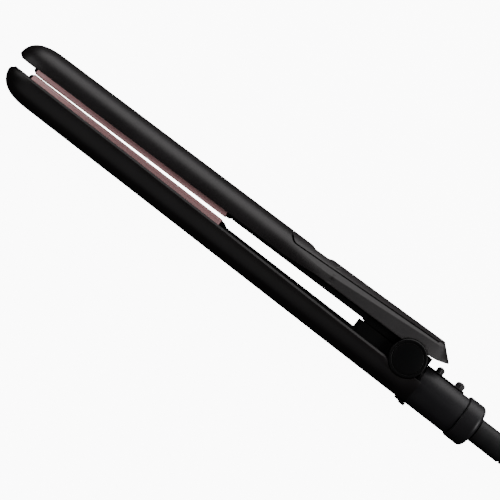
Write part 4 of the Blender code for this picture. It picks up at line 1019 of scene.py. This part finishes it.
class IRON_OT_lock(bpy.types.Operator):
    """Ribbed lock slide under the hinge, with two rounded ribs across it"""

    bl_idname = "iron.lock"
    bl_label = "Lock slide"

    def execute(self, context):
        front, rear = low("lock_slider", 0), high("lock_slider", 0)
        rise = context.scene.iron_shell.lower_crown_rise
        deep, base = low("lock_slider", 1), low("lower_shell", 1) - rise - 0.03 * MM
        half = half_depth("lock_slider")
        notch = (front + rear) / 2 - 0.25 * MM
        under = low("neck_tube", 1) - 0.03 * MM
        neck_x = low("neck_tube", 0)
        first = deep + 0.7 * MM
        outline = [(front, base), (front, first + 0.3 * MM), (front + 0.25 * MM, first)]
        outline += [(notch - 0.5 * MM, first), (notch - 0.25 * MM, first + 0.3 * MM)]
        outline += [(notch + 0.25 * MM, first + 0.3 * MM), (notch + 0.5 * MM, deep)]
        outline += [(rear - 0.25 * MM, deep), (rear, deep + 0.3 * MM), (rear, under)]
        outline += [(neck_x - 0.1 * MM, under), (neck_x - 0.1 * MM, base)]
        rows = []
        shelf = half - 0.3 * MM
        for z, less in ((-half, 0.25 * MM), (-shelf, 0.0), (shelf, 0.0), (half, 0.25 * MM)):
            row = [(x, max(y, deep + less + (first - deep) * (x < notch)), MID_Z + z) for x, y in outline]
            rows.append(row)
        obj = solid_through("lock_slider_ribbed", rows, "nylon")
        settle(soften(obj, 0.12 * MM, 2, 30))
        stand_for(obj, "lock_slider", "heatproof_black", "lock_slider")
        return {"FINISHED"}


LEAD_ROUTE = [
    (0.0803, -0.0069, 0.0150),
    (0.0850, -0.0069, 0.0150),
    (0.0920, -0.0075, 0.0140),
    (0.0990, -0.0104, 0.0115),
    (0.1060, -0.0153, 0.0083),
    (0.1130, -0.0212, 0.0056),
    (0.1200, -0.0264, 0.0042),
    (0.1270, -0.0298, 0.0039),
    (0.1340, -0.0310, 0.0040),
    (0.1405, -0.03095, 0.0041),
    (0.1467, -0.03095, 0.0041),
]
TAIL_ROUTE = [
    (0.2180, 0.0111, 0.0162),
    (0.2125, 0.0110, 0.0165),
    (0.2060, 0.0097, 0.0183),
    (0.1990, 0.0059, 0.0212),
    (0.1925, 0.0011, 0.0243),
    (0.1865, -0.0033, 0.0265),
    (0.1815, -0.0064, 0.0273),
    (0.1790, -0.0069, 0.02745),
    (0.1757, -0.0069, 0.02745),
]


def smooth_points(points, per_span):
    """Points on a smooth curve through the given ones."""
    knots = [Vector(p) for p in points]
    knots = [knots[0] * 2 - knots[1], *knots, knots[-1] * 2 - knots[-2]]
    found = []
    for a, b, c, d in zip(knots, knots[1:], knots[2:], knots[3:]):
        for i in range(per_span):
            t = i / per_span
            square, cube = a * 2 - b * 5 + c * 4 - d, b * 3 - a - c * 3 + d
            found.append((b * 2 + (c - a) * t + square * t**2 + cube * t**3) / 2)
    return [*found, knots[-2]]


def hank_points(sizes):
    """The cord's turns in the hank: six long loops, two beside each other in three layers.

    Each turn changes to the next one's place on its way back, one after the other, so none cross.
    """
    inner, outer = sizes.outer_radius - sizes.step, sizes.outer_radius
    heights = [sizes.lift + sizes.step * i for i in range(3)]
    turns = [(outer, 0), (inner, 0), (inner, 1), (outer, 1), (outer, 2), (inner, 2)]
    points = []
    for number, (radius, layer) in enumerate(turns):
        height = heights[layer]
        for i in range(1, 8):
            x = sizes.hank_x - sizes.straight + 2 * sizes.straight * i / 8
            points.append((x, NECK_Y - radius, height))
        for i in range(sizes.points + 1):
            angle = math.pi * i / sizes.points - math.pi / 2
            end_x = sizes.hank_x + sizes.straight + radius * math.cos(angle)
            points.append((end_x, NECK_Y + radius * math.sin(angle), height))
        if number == len(turns) - 1:
            break
        to_radius, to_height = turns[number + 1][0], heights[turns[number + 1][1]]
        back = 2 * sizes.straight
        total = back + math.pi * radius
        start = (len(turns) - 2 - number) / (len(turns) - 1)
        count = 2 * sizes.points
        for i in range(1, count + 1):
            along = total * i / count
            share = blend(start, start + 1 / (len(turns) - 1), along / total)
            r = radius + (to_radius - radius) * share
            z = height + (to_height - height) * share
            if along < back:
                points.append((sizes.hank_x + sizes.straight - along, NECK_Y + r, z))
            else:
                angle = math.pi / 2 + math.pi * (along - back) / (total - back)
                x = sizes.hank_x - sizes.straight + r * math.cos(angle)
                points.append((x, NECK_Y + r * math.sin(angle), z))
    return points


class IRON_OT_cord(bpy.types.Operator):
    """Mains cord from the strain relief through its hank to the plug"""

    bl_idname = "iron.cord"
    bl_label = "Mains cord"

    def execute(self, context):
        sizes = context.scene.iron_cord
        route = [*LEAD_ROUTE, *hank_points(sizes), *TAIL_ROUTE[1:]]
        points = smooth_points(route, 3)
        curve = bpy.data.curves.new("power_cord_line", "CURVE")
        curve.dimensions = "3D"
        curve.bevel_depth = sizes.diameter / 2
        curve.bevel_resolution = 4
        curve.use_fill_caps = True
        spline = curve.splines.new("POLY")
        spline.points.add(len(points) - 1)
        for point, co in zip(spline.points, points):
            point.co = (*co, 1)
        spline.use_smooth = True
        curve.materials.append(material("rubber"))
        cord = bpy.data.objects.new("power_cord_sheathed", curve)
        context.scene.collection.objects.link(cord)
        stand_for(cord, "lower_arm", "cord_rubber", "power_cord", "cord_hank", "power_cord_tail")
        repaint("rubber", "plug_body")
        repaint("brass", "plug_pin_left", "plug_pin_right")
        repaint("tie", "cord_tie")
        return {"FINISHED"}


class IRON_OT_inner_parts(bpy.types.Operator):
    """Finishes for the frame's own inner and structural pieces"""

    bl_idname = "iron.inner_parts"
    bl_label = "Inner parts"

    def execute(self, context):
        repaint("nylon", "upper_liner", "lower_liner")
        repaint("nylon", "upper_plate_holder", "lower_plate_holder", "hinge_yoke", "hinge_knuckle")
        repaint("nylon", "cable_swivel")
        springs = [f"{arm}_plate_spring_{end}" for arm in ("upper", "lower") for end in ("front", "rear")]
        screws = [f"{arm}_liner_screw_{number}" for arm in ("upper", "lower") for number in (1, 2)]
        repaint("steel", "hinge_pin", "arm_spring", *springs, *screws)
        repaint("board", "control_board", "switch_board")
        repaint("heater", "upper_heater", "lower_heater")
        repaint("lead", "upper_heater_lead", "lower_heater_lead")
        return {"FINISHED"}


def softbox(name, place, target, size, power, colour):
    """An area light at a place, facing a target."""
    light = bpy.data.lights.new(name, "AREA")
    light.shape = "RECTANGLE"
    light.size, light.size_y = size
    light.energy = power
    light.color = colour
    obj = bpy.data.objects.new(name, light)
    obj.location = place
    obj.rotation_euler = (Vector(target) - Vector(place)).to_track_quat("-Z", "Y").to_euler()
    bpy.context.scene.collection.objects.link(obj)


class IRON_OT_stage(bpy.types.Operator):
    """Camera over the iron, a pale floor and soft studio light from the side"""

    bl_idname = "iron.stage"
    bl_label = "Stage"

    def execute(self, context):
        stage = context.scene.iron_stage
        data = bpy.data.cameras.new("camera")
        data.sensor_width = 36.0
        data.lens = 36.0 * stage.distance / stage.view_width
        camera = bpy.data.objects.new("camera", data)
        camera.location = (stage.camera_x, stage.camera_y, MID_Z + stage.distance)
        camera.rotation_euler = (0, 0, stage.turn)
        context.scene.collection.objects.link(camera)
        context.scene.camera = camera

        bm = bmesh.new()
        bmesh.ops.create_grid(bm, x_segments=1, y_segments=1, size=3.0)
        bmesh.ops.translate(bm, vec=(0, 0, -0.0002), verts=bm.verts)
        bmesh.ops.create_icosphere(bm, subdivisions=4, radius=12.0)
        mesh = bpy.data.meshes.new("floor")
        bm.to_mesh(mesh)
        bm.free()
        floor = bpy.data.objects.new("floor", mesh)
        context.scene.collection.objects.link(floor)
        paper = bpy.data.materials.new("floor_paper")
        paper.use_nodes = True
        tree = paper.node_tree
        tree.nodes.clear()
        matt = add_node(
            tree,
            "ShaderNodeBsdfPrincipled",
            {
                "Base Color": linear(context.scene.iron_colours.floor),
                "Roughness": 0.9,
                "Specular IOR Level": 0.0,
                "Emission Color": (1, 1, 1, 1),
                "Emission Strength": 10.0,
            },
        )
        add_node(tree, "ShaderNodeOutputMaterial", links={"Surface": (matt, "BSDF")})
        mesh.materials.append(paper)
        floor.visible_glossy = False
        floor.visible_diffuse = False
        floor.visible_shadow = False

        colour = tuple(stage.sun_colour)
        middle = (-0.09, 0, MID_Z)
        softbox("side_softbox", (-0.05, 0.75, 0.05), middle, (1.3, 0.6), 4.7, colour)
        softbox("end_softbox", (1.3, 0.5, 0.8), middle, (1.0, 0.8), 14.0, colour)
        softbox("front_softbox", (-1.5, 0.25, 1.35), middle, (1.6, 1.4), 8.0, colour)
        softbox("fill_softbox", (-0.3, -0.75, 0.55), middle, (0.8, 1.1), 0.85, colour)

        world = bpy.data.worlds.new("studio")
        world.use_nodes = True
        world.node_tree.nodes["Background"].inputs["Color"].default_value = (1, 1, 1, 1)
        world.node_tree.nodes["Background"].inputs["Strength"].default_value = 0.012
        context.scene.world = world
        return {"FINISHED"}


OPERATORS = [
    IRON_OT_stage,
    IRON_OT_cord,
    IRON_OT_upper_shell,
    IRON_OT_handle_panel,
    IRON_OT_lower_shell,
    IRON_OT_tip_inserts,
    IRON_OT_plates,
    IRON_OT_hinge,
    IRON_OT_neck,
    IRON_OT_strain_relief,
    IRON_OT_lock,
    IRON_OT_inner_parts,
]
GROUPS = {
    "iron_shell": ShellSizes,
    "iron_panel": PanelSizes,
    "iron_cord": CordSizes,
    "iron_colours": Colours,
    "iron_stage": StageSizes,
}


class IRON_PT_sidebar(bpy.types.Panel):
    """Lists the pieces and their sizes"""

    bl_idname = "IRON_PT_sidebar"
    bl_label = "Flat Iron"
    bl_space_type = "VIEW_3D"
    bl_region_type = "UI"
    bl_category = "Flat Iron"

    def draw(self, context):
        for name, group in GROUPS.items():
            box = self.layout.box()
            box.label(text=group.__doc__)
            for prop in group.__annotations__:
                box.prop(getattr(context.scene, name), prop)
        for operator in OPERATORS:
            self.layout.operator(operator.bl_idname)


def register():
    for group in GROUPS.values():
        bpy.utils.register_class(group)
    for operator in OPERATORS:
        bpy.utils.register_class(operator)
    bpy.utils.register_class(IRON_PT_sidebar)
    for name, group in GROUPS.items():
        setattr(bpy.types.Scene, name, PointerProperty(type=group))


def unregister():
    for name in GROUPS:
        delattr(bpy.types.Scene, name)
    bpy.utils.unregister_class(IRON_PT_sidebar)
    for kind in (*reversed(OPERATORS), *reversed(GROUPS.values())):
        bpy.utils.unregister_class(kind)


def main():
    register()
    for operator in OPERATORS:
        family, name = operator.bl_idname.split(".")
        getattr(getattr(bpy.ops, family), name)()


if __name__ == "__main__":
    main()
